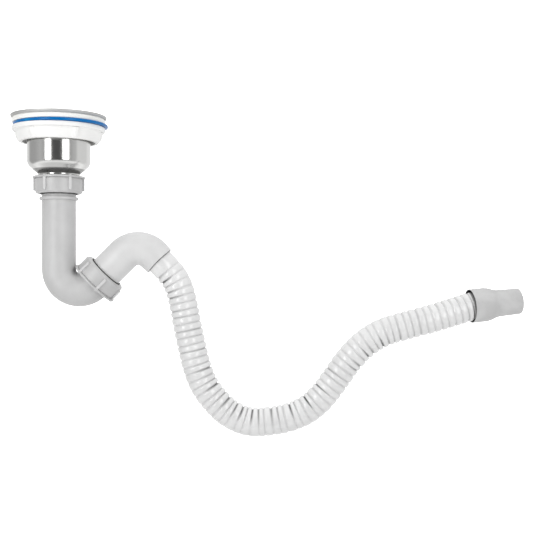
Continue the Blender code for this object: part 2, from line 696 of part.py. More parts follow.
def make_stem(steel):
    """Post from the knob down through basket, stopper and grid, with a head that holds the clip."""
    top = KNOB_TOP - 0.4 * KNOB_LENGTH - SEAT
    bottom = GRID_TOP - STEM_TAIL
    head = STEM_RADIUS + CLIP_WALL
    outline = [
        (0, top),
        (STEM_RADIUS, top),
        (STEM_RADIUS, bottom + STEM_HEAD_LENGTH),
        (head, bottom + STEM_HEAD_LENGTH),
        (STEM_RADIUS, bottom),
        (0, bottom),
    ]
    return turned("basket_stem", outline, SMALL_SIDES, steel, closed=False)


def make_clip(steel):
    """Thin spring sleeve on the post, inside the grid's hub."""
    low = GRID_TOP - STEM_TAIL + STEM_HEAD_LENGTH + SEAT
    high = STOPPER_BOTTOM - STOPPER_SKIRT - 2 * SEAT - STOPPER_WASHER_THICKNESS
    bore = STEM_RADIUS + 0.5 * SEAT
    wall = STEM_RADIUS + CLIP_WALL
    return turned("stem_clip", [(bore, low), (wall, low), (wall, high), (bore, high)], SMALL_SIDES, steel)


def make_knob(steel):
    bottom = KNOB_TOP - KNOB_LENGTH
    bore = STEM_RADIUS + SEAT
    roof = KNOB_TOP - 0.4 * KNOB_LENGTH
    waist = 0.55 * KNOB_RADIUS
    outline = [
        (0, KNOB_TOP),
        (0.80 * KNOB_RADIUS, KNOB_TOP),
        (KNOB_RADIUS, KNOB_TOP - 0.12 * KNOB_LENGTH),
        (0.95 * KNOB_RADIUS, KNOB_TOP - 0.35 * KNOB_LENGTH),
        (waist, KNOB_TOP - 0.65 * KNOB_LENGTH),
        (waist, bottom),
        (bore, bottom),
        (bore, roof),
        (0, roof),
    ]
    return turned("basket_knob", outline, PIPE_SIDES, steel, closed=False)


def build():
    for leftover in list(bpy.data.objects):
        bpy.data.objects.remove(leftover, do_unlink=True)

    steel = (0.62, 0.62, 0.61)
    make_strainer_body(material("polished_steel", steel, 0.18, 1.0))
    make_flange_gasket(material("white_foam", (0.86, 0.86, 0.83), 0.7))
    make_seal_ring(material("blue_rubber", (0.02, 0.16, 0.72), 0.3))
    make_backing_nut(material("white_plastic", (0.85, 0.85, 0.84), 0.35))
    make_outlet_spigot(material("spigot_steel", steel, 0.25, 1.0))
    make_outlet_grid(material("pressed_steel", steel, 0.25, 1.0))

    basket_axis = empty("basket_axis", Matrix.Identity(4))
    basket_pieces = [
        make_basket(material("basket_steel", steel, 0.22, 1.0)),
        make_stopper(material("black_rubber", (0.03, 0.03, 0.03), 0.6)),
        make_stopper_washer(material("washer_steel", steel, 0.3, 1.0)),
        make_stem(material("post_steel", steel, 0.25, 1.0)),
        make_clip(material("spring_steel", (0.5, 0.5, 0.5), 0.3, 1.0)),
        make_knob(material("knob_steel", steel, 0.15, 1.0)),
    ]
    for piece in basket_pieces:
        hang(piece, basket_axis)

    trap_axis = empty("trap_axis", Matrix.Identity(4))
    upper_nut = make_slip_nut("slip_nut_upper", material("nut_plastic", (0.55, 0.56, 0.56), 0.4))
    upper_nut.location.z = THREAD_END - WASHER_LENGTH - 2 * SEAT + NUT_DEPTH
    upper_nut.rotation_euler = (math.pi, 0, math.radians(10))
    washer_upper = make_washer("washer_upper", PIPE_RADIUS, material("washer_rubber", (0.7, 0.7, 0.68), 0.6))
    washer_upper.location.z = THREAD_END - SEAT
    washer_upper.rotation_euler.x = math.pi
    hang(washer_upper, trap_axis)
    hang(make_trap_bend(material("bend_plastic", (0.55, 0.56, 0.56), 0.4)), trap_axis)

    bend_end = bent_line(BEND_START, BEND_RADIUS * BEND_ANGLE, BEND_RADIUS, BEND_ANGLE).to_translation()
    arm = Matrix.Translation(bend_end) @ Matrix.Rotation(ARM_TILT, 4, "Y")
    lower_nut = make_slip_nut("slip_nut_lower", material("nut_plastic_lower", (0.55, 0.56, 0.56), 0.4))
    nut_seat = THREAD_LENGTH + WASHER_LENGTH + 2 * SEAT - NUT_DEPTH
    turn = Matrix.Rotation(math.radians(-66), 4, "Z")
    lower_nut.matrix_world = arm @ Matrix.Translation((0, 0, nut_seat)) @ turn
    hang(lower_nut, trap_axis)

    arm_axis = empty("arm_axis", arm, trap_axis)
    lower_rubber = material("washer_rubber_lower", (0.7, 0.7, 0.68), 0.6)
    washer_lower = make_washer("washer_lower", ELBOW_RADIUS, lower_rubber)
    washer_lower.matrix_world = arm @ Matrix.Translation((0, 0, THREAD_LENGTH + SEAT))
    path = smooth_route(HOSE_ROUTE)
    arm_pieces = [
        washer_lower,
        make_trap_elbow(arm, material("elbow_plastic", (0.72, 0.72, 0.72), 0.4)),
        make_hose(path, material("hose_plastic", (0.85, 0.85, 0.85), 0.3)),
        make_adapter(path, material("adapter_rubber", (0.55, 0.55, 0.55), 0.6)),
    ]
    for piece in arm_pieces:
        hang(piece, arm_axis)


build()
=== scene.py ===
import math

import bmesh
import bpy
from mathutils import Matrix, Vector


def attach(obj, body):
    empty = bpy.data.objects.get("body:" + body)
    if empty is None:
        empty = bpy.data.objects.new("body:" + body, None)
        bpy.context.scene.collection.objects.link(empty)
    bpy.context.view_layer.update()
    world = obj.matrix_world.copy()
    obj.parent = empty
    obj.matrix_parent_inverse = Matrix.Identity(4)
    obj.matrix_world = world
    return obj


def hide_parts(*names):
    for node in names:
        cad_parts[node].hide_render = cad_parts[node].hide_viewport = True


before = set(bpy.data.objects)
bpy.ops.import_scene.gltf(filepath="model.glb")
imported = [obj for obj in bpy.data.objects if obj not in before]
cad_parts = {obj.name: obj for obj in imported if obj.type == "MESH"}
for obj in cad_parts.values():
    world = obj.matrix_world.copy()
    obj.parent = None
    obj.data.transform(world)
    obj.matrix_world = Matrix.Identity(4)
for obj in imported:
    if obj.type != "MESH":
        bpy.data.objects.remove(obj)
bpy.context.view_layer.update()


# Studio. A level camera stands in front of the hose's middle. A pale floor lies well below the hose,
# with white paper behind it, a tall soft box on each side of the camera and a dark room behind that.
# WALLS pairs an angle round the part, in degrees from the camera's side, with a brightness.
CAMERA_PLACE = (0.2518, -1.0558, -0.1782)
CAMERA_LENS = 58.76
FLOOR_HEIGHT = -0.62
FLOOR_RADIUS = 6.0
PAPER_WHITE = 1.05
CEILING = 1.30
CEILING_EDGE = (0.55, 0.92)
GROUND = 0.88
GROUND_EDGE = (-0.66, -0.40)
TABLE_FRONT = 0.45
TABLE_EDGE = (-0.95, -0.60)
FLOOR_TONE = 0.93
FLOOR_GLOW = 0.55
WALLS = [
    (-180, 1.00), (-124, 0.95), (-112, 0.50), (-82, 0.52), (-55, 0.66), (-40, 0.45), (-12, 0.10),
    (16, 0.10), (53, 0.45), (64, 0.62), (76, 0.68), (84, 0.95), (128, 0.92), (136, 1.05), (180, 1.00),
]
SOFT_BOXES = {
    "soft_box_left": {"place": (-0.54, -1.12, 0.05), "size": (0.42, 1.3), "power": 8.8},
    "soft_box_right": {"place": (0.93, -1.22, 0.05), "size": (0.60, 1.3), "power": 8.0},
}
LIGHT_TARGET = Vector((0.10, 0, -0.12))


class Output:
    """A node's output, which takes part in sums as a number does."""

    def __init__(self, shades, socket):
        self.shades = shades
        self.socket = socket

    def maths(self, operation, *values):
        return self.shades.node("ShaderNodeMath", {"operation": operation}, dict(enumerate(values)))

    def __add__(self, other):
        return self.maths("ADD", self, other)

    def __mul__(self, other):
        return self.maths("MULTIPLY", self, other)

    def __rsub__(self, other):
        return self.maths("SUBTRACT", other, self)

    def __truediv__(self, other):
        return self.maths("DIVIDE", self, other)

    def __abs__(self):
        return self.maths("ABSOLUTE", self)

    def ramp(self, low, high, first=0.0, last=1.0):
        """Runs smoothly from first to last as the value goes from low to high."""
        settings = {"interpolation_type": "SMOOTHSTEP", "clamp": True}
        values = {"Value": self, "From Min": low, "From Max": high, "To Min": first, "To Max": last}
        return self.shades.node("ShaderNodeMapRange", settings, values)


class Shades:
    """The node tree of a world or a material."""

    def __init__(self, owner):
        owner.use_nodes = True
        self.tree = owner.node_tree

    def plug(self, socket, value):
        if isinstance(value, Output):
            self.tree.links.new(value.socket, socket)
        else:
            socket.default_value = value

    def node(self, kind, settings=None, values=None, output=0):
        """Adds a node, sets it up, and gives the values or links of its sockets."""
        made = self.tree.nodes.new(kind)
        for name, value in (settings or {}).items():
            setattr(made, name, value)
        for key, value in (values or {}).items():
            self.plug(made.inputs[key], value)
        return Output(self, made.outputs[output])

    def part(self, vector, axis):
        """One coordinate of a vector."""
        return self.node("ShaderNodeSeparateXYZ", None, {0: vector}, "XYZ".index(axis))


world = bpy.data.worlds.new("studio_paper")
bpy.context.scene.world = world
paper = Shades(world)
direction = paper.node("ShaderNodeTexCoord")
height = paper.part(direction, "Z")
rightward = paper.part(direction, "X")
azimuth = rightward.maths("ARCTAN2", rightward, 0 - paper.part(direction, "Y"))
wall_ramp = world.node_tree.nodes.new("ShaderNodeValToRGB")
wall_stops = wall_ramp.color_ramp.elements
for number, (degrees, brightness) in enumerate(WALLS):
    place = (degrees + 180) / 360
    stop = wall_stops[number] if number < 2 else wall_stops.new(place)
    stop.position = place
    stop.color = (brightness, brightness, brightness, 1)
paper.plug(wall_ramp.inputs[0], azimuth / math.tau + 0.5)
walls = Output(paper, wall_ramp.outputs[0])
upper = height.ramp(*CEILING_EDGE)
lower = height.ramp(*GROUND_EDGE, 1.0, 0.0)
table = height.ramp(*TABLE_EDGE) * TABLE_FRONT + GROUND
surroundings = walls * (1 - upper) * (1 - lower) + upper * CEILING + lower * table
seen_directly = paper.node("ShaderNodeLightPath")
background = world.node_tree.nodes["Background"]
background.inputs["Color"].default_value = (1, 1, 1, 1)
paper.plug(background.inputs["Strength"], surroundings + seen_directly * PAPER_WHITE)

floor_shape = bmesh.new()
bmesh.ops.create_circle(
    floor_shape, cap_ends=True, segments=64, radius=FLOOR_RADIUS,
    matrix=Matrix.Translation((0, 0, FLOOR_HEIGHT)),
)
floor_mesh = bpy.data.meshes.new("studio_floor")
floor_shape.to_mesh(floor_mesh)
floor_shape.free()
floor = bpy.data.objects.new("studio_floor", floor_mesh)
bpy.context.scene.collection.objects.link(floor)
floor_paint = bpy.data.materials.new("floor_paper")
floor_tones = Shades(floor_paint)
floor_shader = floor_paint.node_tree.nodes["Principled BSDF"]
floor_place = floor_tones.node("ShaderNodeTexCoord", output=3)
fibres = floor_tones.node("ShaderNodeTexNoise", None, {"Vector": floor_place, "Scale": 40.0})
floor_tones.plug(floor_shader.inputs["Roughness"], fibres * 0.1 + 0.85)
floor_shader.inputs["Base Color"].default_value = (FLOOR_TONE, FLOOR_TONE, FLOOR_TONE, 1)
floor_shader.inputs["Emission Color"].default_value = (1, 1, 1, 1)
floor_shader.inputs["Emission Strength"].default_value = FLOOR_GLOW
floor_mesh.materials.append(floor_paint)
floor.visible_glossy = False
floor.visible_diffuse = False

for light_name, facts in SOFT_BOXES.items():
    light = bpy.data.lights.new(light_name, "AREA")
    light.shape = "RECTANGLE"
    light.size, light.size_y = facts["size"]
    light.energy = facts["power"]
    lamp = bpy.data.objects.new(light_name, light)
    lamp.location = facts["place"]
    lamp.rotation_euler = (LIGHT_TARGET - lamp.location).to_track_quat("-Z", "Y").to_euler()
    lamp.visible_camera = False
    bpy.context.scene.collection.objects.link(lamp)

camera = bpy.data.objects.new("camera", bpy.data.cameras.new("camera"))
camera.data.lens = CAMERA_LENS
camera.data.clip_start = 0.05
camera.location = CAMERA_PLACE
camera.rotation_euler = (math.pi / 2, 0, 0)
bpy.context.scene.collection.objects.link(camera)
bpy.context.scene.camera = camera
bpy.context.scene.view_settings.view_transform = "Standard"


# Waste hose. White polythene, blown into rings that let it bend, with a smooth cuff at each end.
# One cuff is pushed up into the elbow and the other into the rubber adapter; it keeps the set it was
# bent to, and its rings close up on the inside of each bend.
# The hose's colour holds painted shade: dark in the ring valleys and pleats, in a groove on the upper cuff
# where it leaves the elbow's mouth, and along the end that lies in the adapter's mouth.
HOSE_ROUTE = [
    (0.1150, 0, -0.1647), (0.1222, 0, -0.1719), (0.1320, 0, -0.1822), (0.1410, 0, -0.1945),
    (0.1472, 0, -0.2090), (0.1520, 0, -0.2290), (0.1561, 0, -0.2505), (0.1610, 0, -0.2735),
    (0.1668, 0, -0.2975), (0.1752, 0, -0.3195), (0.1890, 0, -0.3395), (0.2075, 0, -0.3565),
    (0.2310, 0, -0.3662), (0.2580, 0, -0.3655), (0.2825, 0, -0.3600), (0.3030, 0, -0.3500),
    (0.3200, 0, -0.3345), (0.3360, 0, -0.3135), (0.3515, 0, -0.2920), (0.3700, 0, -0.2730),
    (0.3930, 0, -0.2585), (0.4210, 0, -0.2497), (0.4480, 0, -0.2425), (0.4700, 0.0013, -0.2361),
    (0.4870, 0.0032, -0.2310), (0.49805, 0.0047, -0.22784), (0.50937, 0.0052, -0.22564),
    (0.5202, 0.00682, -0.22459),
]
HOSE_CREST = 0.01745
HOSE_CUFF = 0.0170
HOSE_BORE = 0.0125
HOSE_CUFF_LENGTH = 0.0262
HOSE_END_CUFF_LENGTH = 0.0120
HOSE_SIDES = 64
BORE_STEPS = 60
SHADE_GROOVE = 0.0097
SHADE_GROOVE_WIDTH = 0.0009
SHADE_GROOVE_DEPTH = 0.0006
HOSE_IN_SHADE = 0.0190
SHADE_TONE = 0.1
HOSE_PITCH = 0.0085
RING_POINTS = 10
VALLEY_DEPTH = 0.0016
VALLEY_SHARPNESS = 5
VALLEY_SHADE = 0.14
RING_STRAY = 0.10
RING_STRAY_STEP = 2.4
FULL_BEND = 0.26
BEND_REACH = 0.008
STRETCHED_FLAT = 0.7
PLEAT_DEPTH = 0.0016
PLEAT_SHADE = 0.8
PLEAT_STEP = 2.2
PLEAT_LEAST = 0.15
PLEAT_MIDDLE = 0.35
PLEAT_SWING = 0.65
PLEAT_GROWTH = 1.4
PLEAT_SPREAD = 0.2
EDGE_ANGLE = math.radians(35)
CLOSE = 0.0001


def smooth_route(points, steps=12):
    """Points on a Catmull-Rom curve through the route's own points."""
    knots = [Vector(point) for point in points]
    knots = [2 * knots[0] - knots[1]] + knots + [2 * knots[-1] - knots[-2]]
    path = []
    for a, b, c, d in zip(knots, knots[1:], knots[2:], knots[3:]):
        for step in range(steps):
            t = step / steps
            path.append(0.5 * (2 * b + (c - a) * t + (2 * a - 5 * b + 4 * c - d) * t**2
                               + (3 * b - a - 3 * c + d) * t**3))
    return path + [knots[-2]]


def route_frame(path, distance):
    """Frame at a distance along the route, its Z pointing along it and its X kept near world Y."""
    for start, end in zip(path, path[1:]):
        length = (end - start).length
        if distance <= length or end is path[-1]:
            break
        distance -= length
    heading = (end - start).normalized()
    across = (Vector((0, 1, 0)) - heading * heading.y).normalized()
    turn = Matrix((across, heading.cross(across), heading)).transposed().to_4x4()
    return Matrix.Translation(start + heading * distance) @ turn


def spun(outline, sides, closed=True, segments=4):
    """Turns an outline of (radius, height, corner rounding) about Z, as on a lathe."""
    bm = bmesh.new()
    corners = [bm.verts.new((radius, 0, height)) for radius, height, _ in outline]
    for pair in zip(corners, corners[1:] + corners[:1] if closed else corners[1:]):
        bm.edges.new(pair)
    for rounding in sorted({point[2] for point in outline} - {0}):
        chosen = [corner for corner, point in zip(corners, outline) if point[2] == rounding]
        bmesh.ops.bevel(
            bm, geom=chosen, offset=rounding, offset_type="OFFSET", segments=segments, profile=0.5,
            affect="VERTICES", material=-1, clamp_overlap=True,
        )
    bmesh.ops.spin(
        bm, geom=bm.verts[:] + bm.edges[:], cent=(0, 0, 0), axis=(0, 0, 1), angle=math.tau, steps=sides,
        use_merge=True,
    )
    bmesh.ops.remove_doubles(bm, verts=bm.verts, dist=1e-6)
    bmesh.ops.recalc_face_normals(bm, faces=bm.faces)
    return bm


def finished(name, bm, paint, edge=0.0):
    """Makes the piece's object, smooth, with its hard edges broken by a small round."""
    mesh = bpy.data.meshes.new(name)
    bm.to_mesh(mesh)
    bm.free()
    mesh.shade_smooth()
    mesh.set_sharp_from_angle(angle=EDGE_ANGLE)
    mesh.materials.append(paint)
    piece = bpy.data.objects.new(name, mesh)
    bpy.context.scene.collection.objects.link(piece)
    if edge:
        rounding = piece.modifiers.new("Edge", "BEVEL")
        rounding.width = edge
        rounding.segments = 3
        rounding.limit_method = "ANGLE"
        rounding.angle_limit = EDGE_ANGLE
        rounding.harden_normals = True
    return piece


class Finish(Shades):
    """A material with one Principled shader, its constant values set on the shader's own sockets."""

    def __init__(self, name, **constants):
        self.material = bpy.data.materials.new(name)
        super().__init__(self.material)
        self.shader = self.tree.nodes["Principled BSDF"]
        self.place = self.node("ShaderNodeTexCoord", output=3)
        for socket, value in constants.items():
            self.shader.inputs[socket.replace("_", " ")].default_value = value

    def feed(self, socket, value):
        self.plug(self.shader.inputs[socket], value)

    def noise(self, scale, detail=2.0, place=None):
        values = {"Vector": place or self.place, "Scale": scale, "Detail": detail}
        return self.node("ShaderNodeTexNoise", None, values)

    def mixed(self, factor, first, second):
        """A colour between two others."""
        values = {0: factor, 6: (*first, 1), 7: (*second, 1)}
        return self.node("ShaderNodeMix", {"data_type": "RGBA"}, values, 2)

    def bump(self, height, depth):
        self.feed("Normal", self.node("ShaderNodeBump", None, {"Height": height, "Distance": depth}))


def moulded_plastic(name, light, dark, roughness, parting=0.0, raised=0.0, **constants):
    """Plain moulded plastic: faint clouds in its colour and gloss, and a parting line where halves met.

    Where a share of painted shading is given, that share of the colour follows the piece's own attribute
    for it: painted light where a point stands out, painted shade where it lies in a fold or in shade.
    """
    plastic = Finish(name, **constants)
    tone = plastic.noise(45.0, 3.0).ramp(0.3, 0.7)
    # Painted light and shade: the attribute lightens or darkens the plastic's colour.
    if raised:
        painted_light_share = plastic.node("ShaderNodeAttribute", {"attribute_name": "raised"}, None, "Fac")
        tone = tone * (1 - raised) + painted_light_share * raised
    plastic.feed("Base Color", plastic.mixed(tone, dark, light))
    plastic.feed("Roughness", plastic.noise(160.0) * 0.12 + (roughness - 0.06))
    grain = plastic.noise(1500.0, 3.0) * 0.25
    if parting:
        grain = grain + abs(plastic.part(plastic.place, "Y")).ramp(0, parting, 1.0, 0.0)
    plastic.bump(grain, 0.00012)
    return plastic.material


hose_path = smooth_route(HOSE_ROUTE)
hose_length = sum((end - start).length for start, end in zip(hose_path, hose_path[1:]))
ribbed_length = hose_length - HOSE_CUFF_LENGTH - HOSE_END_CUFF_LENGTH
ring_count = round(ribbed_length / HOSE_PITCH)
ring_pitch = ribbed_length / ring_count
hose_outline = [
    (HOSE_BORE, 0, 0),
    (HOSE_CUFF, 0, 0),
    (HOSE_CUFF, SHADE_GROOVE, 0),
    (HOSE_CUFF - SHADE_GROOVE_DEPTH, SHADE_GROOVE + 0.1 * SHADE_GROOVE_WIDTH, 0),
    (HOSE_CUFF - SHADE_GROOVE_DEPTH, SHADE_GROOVE + 0.9 * SHADE_GROOVE_WIDTH, 0),
    (HOSE_CUFF, SHADE_GROOVE + SHADE_GROOVE_WIDTH, 0),
    (HOSE_CUFF, 0.5 * HOSE_CUFF_LENGTH, 0),
    (HOSE_CUFF, 0.7 * HOSE_CUFF_LENGTH, 0),
    (HOSE_CUFF, HOSE_CUFF_LENGTH - 0.25 * ring_pitch, 0),
]
for ring in range(ring_count):
    for point in range(RING_POINTS):
        share = point / RING_POINTS
        place = ring + share
        valley = (0.5 + 0.5 * math.cos(math.tau * share)) ** VALLEY_SHARPNESS
        stray = RING_STRAY * ring_pitch * math.sin(RING_STRAY_STEP * place)
        stray *= math.sin(0.5 * math.tau * place / ring_count)
        distance = HOSE_CUFF_LENGTH + place * ring_pitch + stray
        hose_outline.append((HOSE_CREST - VALLEY_DEPTH * valley, distance, 0))
end_cuff = hose_length - HOSE_END_CUFF_LENGTH
hose_outline += [
    (HOSE_CREST - VALLEY_DEPTH, end_cuff, 0),
    (HOSE_CUFF, end_cuff + 0.25 * ring_pitch, 0),
    (HOSE_CUFF, hose_length, 0),
    (HOSE_BORE, hose_length, 0),
]
hose_outline += [(HOSE_BORE, hose_length * step / BORE_STEPS, 0) for step in range(BORE_STEPS - 1, 0, -1)]
hose_shape = spun(hose_outline, HOSE_SIDES)
raised_layer = hose_shape.verts.layers.float.new("raised")
route_frames = {}
for vertex in hose_shape.verts:
    distance = vertex.co.z
    if distance not in route_frames:
        here = route_frame(hose_path, distance)
        before = route_frame(hose_path, max(0, distance - BEND_REACH)).col[2]
        after = route_frame(hose_path, distance + BEND_REACH).col[2]
        route_frames[distance] = here, here.to_3x3().inverted() @ (after - before).to_3d() / FULL_BEND
    here, inward = route_frames[distance]
    spoke = Vector((vertex.co.x, vertex.co.y, 0))
    # Painted shade: the groove at the elbow's mouth and the end inside the adapter's mouth are coloured
    # dark.
    in_shade_groove = distance < HOSE_CUFF_LENGTH and spoke.length < HOSE_CUFF - 0.5 * SHADE_GROOVE_DEPTH
    in_shade = distance > hose_length - HOSE_IN_SHADE
    vertex[raised_layer] = SHADE_TONE if in_shade_groove or in_shade else 1
    if HOSE_CUFF_LENGTH < distance < end_cuff and spoke.length > HOSE_BORE + CLOSE:
        hollow = (HOSE_CREST - spoke.length) / VALLEY_DEPTH
        ring = round((distance - HOSE_CUFF_LENGTH) / ring_pitch)
        closeness = max(PLEAT_LEAST, PLEAT_MIDDLE + PLEAT_SWING * math.sin(PLEAT_STEP * ring))
        side = max(-1, min(1, inward.dot(spoke.normalized())))
        pleat = min(1, max(0, PLEAT_GROWTH * side + PLEAT_SPREAD)) * closeness * hollow
        flattening = STRETCHED_FLAT * max(0, -side) * VALLEY_DEPTH * hollow
        # Painted shade: darker in the ring valleys, and darker still in the pleats on the inside of bends.
        vertex[raised_layer] *= 1 - VALLEY_SHADE * hollow - PLEAT_SHADE * pleat
        spoke *= 1 + (flattening - PLEAT_DEPTH * pleat) / spoke.length
    vertex.co = here @ spoke
bmesh.ops.recalc_face_normals(hose_shape, faces=hose_shape.faces)
# The light tone is the hose's white; the dark tone is the colour of its painted shade.
hose_plastic = moulded_plastic(
    "hose_polythene", (0.74, 0.74, 0.74), (0.08, 0.08, 0.08), 0.20, raised=0.93,
    Coat_Weight=0.4, Coat_Roughness=0.08,
)
hose = finished("waste_hose", hose_shape, hose_plastic)
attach(hose, "arm")
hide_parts("flexible_hose")


# Pipe adapter. A stepped sleeve of grey rubber, moulded in one, that is pushed over the hose's end cuff.
# Its wide mouth stands a little off the hose, and its narrow end goes into the house's waste pipe.
ADAPTER_LENGTH = 0.0625
ADAPTER_WIDE = 0.0206
ADAPTER_WIDE_LENGTH = 0.0225
ADAPTER_NECK = 0.0165
ADAPTER_NECK_START = 0.0315
ADAPTER_END = 0.0158
ADAPTER_WALL = 0.0021
ADAPTER_MOUTH_BORE = 0.0197
ADAPTER_SEAT = 0.0173
ADAPTER_MOUTH_LENGTH = 0.0120
ADAPTER_MOUTH_SLOPE = 0.0020
ADAPTER_LIP = 0.0006
ADAPTER_OVERLAP = 0.0205
ADAPTER_PLAY = 0.0003

adapter_shape = spun([
    (ADAPTER_MOUTH_BORE, ADAPTER_LIP + 2 * CLOSE, 0),
    (ADAPTER_MOUTH_BORE, 0, 0.0004),
    (ADAPTER_WIDE, 0, 0.0007),
    (ADAPTER_WIDE, ADAPTER_WIDE_LENGTH, 0.006),
    (ADAPTER_NECK, ADAPTER_NECK_START, 0.006),
    (ADAPTER_END, ADAPTER_LENGTH, 0.0009),
    (ADAPTER_END - ADAPTER_WALL, ADAPTER_LENGTH, 0.0005),
    (ADAPTER_NECK - ADAPTER_WALL, ADAPTER_NECK_START, 0),
    (ADAPTER_NECK - ADAPTER_WALL, ADAPTER_OVERLAP + ADAPTER_PLAY, 0),
    (ADAPTER_SEAT, ADAPTER_OVERLAP + ADAPTER_PLAY, 0),
    (ADAPTER_SEAT, ADAPTER_MOUTH_LENGTH + ADAPTER_MOUTH_SLOPE, 0),
    (ADAPTER_MOUTH_BORE, ADAPTER_MOUTH_LENGTH, 0),
], 96, segments=6)
# Painted shade: inside the mouth, round the hose, the rubber is coloured near black.
raised_layer = adapter_shape.verts.layers.float.new("raised")
for vertex in adapter_shape.verts:
    inside = math.hypot(vertex.co.x, vertex.co.y) < ADAPTER_MOUTH_BORE + CLOSE
    in_mouth = ADAPTER_LIP < vertex.co.z < ADAPTER_MOUTH_LENGTH + ADAPTER_MOUTH_SLOPE + CLOSE
    vertex[raised_layer] = not (inside and in_mouth)
adapter_place = route_frame(hose_path, hose_length) @ Matrix.Translation((0, 0, -ADAPTER_OVERLAP))
bmesh.ops.transform(adapter_shape, matrix=adapter_place, verts=adapter_shape.verts)

rubber = Finish("adapter_rubber", Specular_IOR_Level=0.35)
bloom = rubber.noise(60.0, 4.0).ramp(0.35, 0.7) * 0.12 + 0.88
outside = rubber.node("ShaderNodeAttribute", {"attribute_name": "raised"}, None, "Fac")
# The near black inside the mouth is painted shade; elsewhere the rubber is its own grey.
rubber.feed("Base Color", rubber.mixed(bloom * outside, (0.03, 0.03, 0.03), (0.55, 0.55, 0.55)))
rubber.feed("Roughness", rubber.noise(220.0) * 0.15 + 0.5)
rubber.bump(rubber.noise(1100.0, 4.0), 0.00025)
adapter = finished("pipe_adapter", adapter_shape, rubber.material)
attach(adapter, "arm")
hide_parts("end_adapter")


# Outlet elbow. A right-angled bend of pale grey plastic, moulded round a core that is drawn out of each
# end. Its straight leg sits in the trap bend's socket, and the hose is pushed up into its mouth.
ARM_PLACE = (0.042678, 0, -0.199178)
ARM_TILT = math.radians(45)
ELBOW_RADIUS = 0.0205
ELBOW_MOUTH_RADIUS = 0.0199
ELBOW_BORE = 0.0173
ELBOW_INLET = 0.0053
ELBOW_RISE = 0.0500
ELBOW_BEND_RADIUS = 0.0255
ELBOW_RUN = 0.0111
ELBOW_MOUTH_BORE = 0.0190
ELBOW_MOUTH_DEPTH = 0.0045
PIPE_EDGE = 0.0004
PARTING_WIDTH = 0.0004
arm_frame = Matrix.Translation(ARM_PLACE) @ Matrix.Rotation(ARM_TILT, 4, "Y")


class Tube:
    """A tube that grows from a ring of edges, as it is drawn straight, flared or bent."""

    def __init__(self, place, radius, sides=96):
        self.bm = bmesh.new()
        self.place = place.copy()
        self.radius = radius
        ring = bmesh.ops.create_circle(self.bm, segments=sides, radius=radius, matrix=place)["verts"]
        self.first = self.ring = list({edge for corner in ring for edge in corner.link_edges})

    def run(self, length, radius=None):
        """Goes straight on, to another radius if one is given."""
        made = bmesh.ops.extrude_edge_only(self.bm, edges=self.ring)["geom"]
        corners = [part for part in made if isinstance(part, bmesh.types.BMVert)]
        self.ring = [part for part in made if isinstance(part, bmesh.types.BMEdge)]
        bmesh.ops.translate(self.bm, verts=corners, vec=self.place.to_3x3() @ Vector((0, 0, length)))
        self.place = self.place @ Matrix.Translation((0, 0, length))
        if radius is not None:
            share = radius / self.radius
            bmesh.ops.scale(self.bm, verts=corners, vec=(share, share, share), space=self.place.inverted())
            self.radius = radius

    def bend(self, angle, reach, steps):
        """Goes round a point that lies beside the tube, on the side of the ring's own X."""
        centre = self.place @ Vector((reach, 0, 0))
        axis = self.place.to_3x3() @ Vector((0, 1, 0))
        corners = list({corner for edge in self.ring for corner in edge.verts})
        made = bmesh.ops.spin(
            self.bm, geom=corners + self.ring, cent=centre, axis=axis, angle=angle, steps=steps
        )["geom_last"]
        self.ring = [part for part in made if isinstance(part, bmesh.types.BMEdge)]
        turn = Matrix.Translation(centre) @ Matrix.Rotation(angle, 4, axis) @ Matrix.Translation(-centre)
        self.place = turn @ self.place

    def close(self):
        """Joins the last ring to the first one, where they meet."""
        bmesh.ops.remove_doubles(self.bm, verts=self.bm.verts, dist=1e-6)
        bmesh.ops.recalc_face_normals(self.bm, faces=self.bm.faces)
        return self.bm


elbow_tube = Tube(arm_frame @ Matrix.Translation((0, 0, ELBOW_INLET)), ELBOW_BORE)
elbow_tube.run(0, ELBOW_RADIUS)
elbow_tube.run(ELBOW_RISE - ELBOW_INLET)
elbow_tube.bend(math.pi / 2, ELBOW_BEND_RADIUS, 40)
elbow_tube.run(ELBOW_RUN, ELBOW_MOUTH_RADIUS)
elbow_tube.run(0, ELBOW_MOUTH_BORE)
elbow_tube.run(-ELBOW_MOUTH_DEPTH, ELBOW_BORE)
elbow_tube.run(ELBOW_MOUTH_DEPTH - ELBOW_RUN)
elbow_tube.bend(-math.pi / 2, ELBOW_BEND_RADIUS, 24)
elbow_tube.run(ELBOW_INLET - ELBOW_RISE)
pale_plastic = moulded_plastic(
    "elbow_plastic", (0.65, 0.65, 0.65), (0.61, 0.61, 0.61), 0.38, parting=PARTING_WIDTH
)
elbow = finished("outlet_elbow", elbow_tube.close(), pale_plastic, edge=PIPE_EDGE)
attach(elbow, "arm")
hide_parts("trap_elbow")


# Slip-joint washers. Tapered rings of soft black rubber, one under each slip nut, whose shoulder squeezes
# them on to the pipe and into the threaded end, which seals the joint. A thin black collar on each stands
# out of the nut's end as a dark line: a dark thing put there as painted shade, for the shade in the gap.
WASHER_WIDE = 0.0240
WASHER_LENGTH = 0.0048
WASHER_TAPER = 0.0014
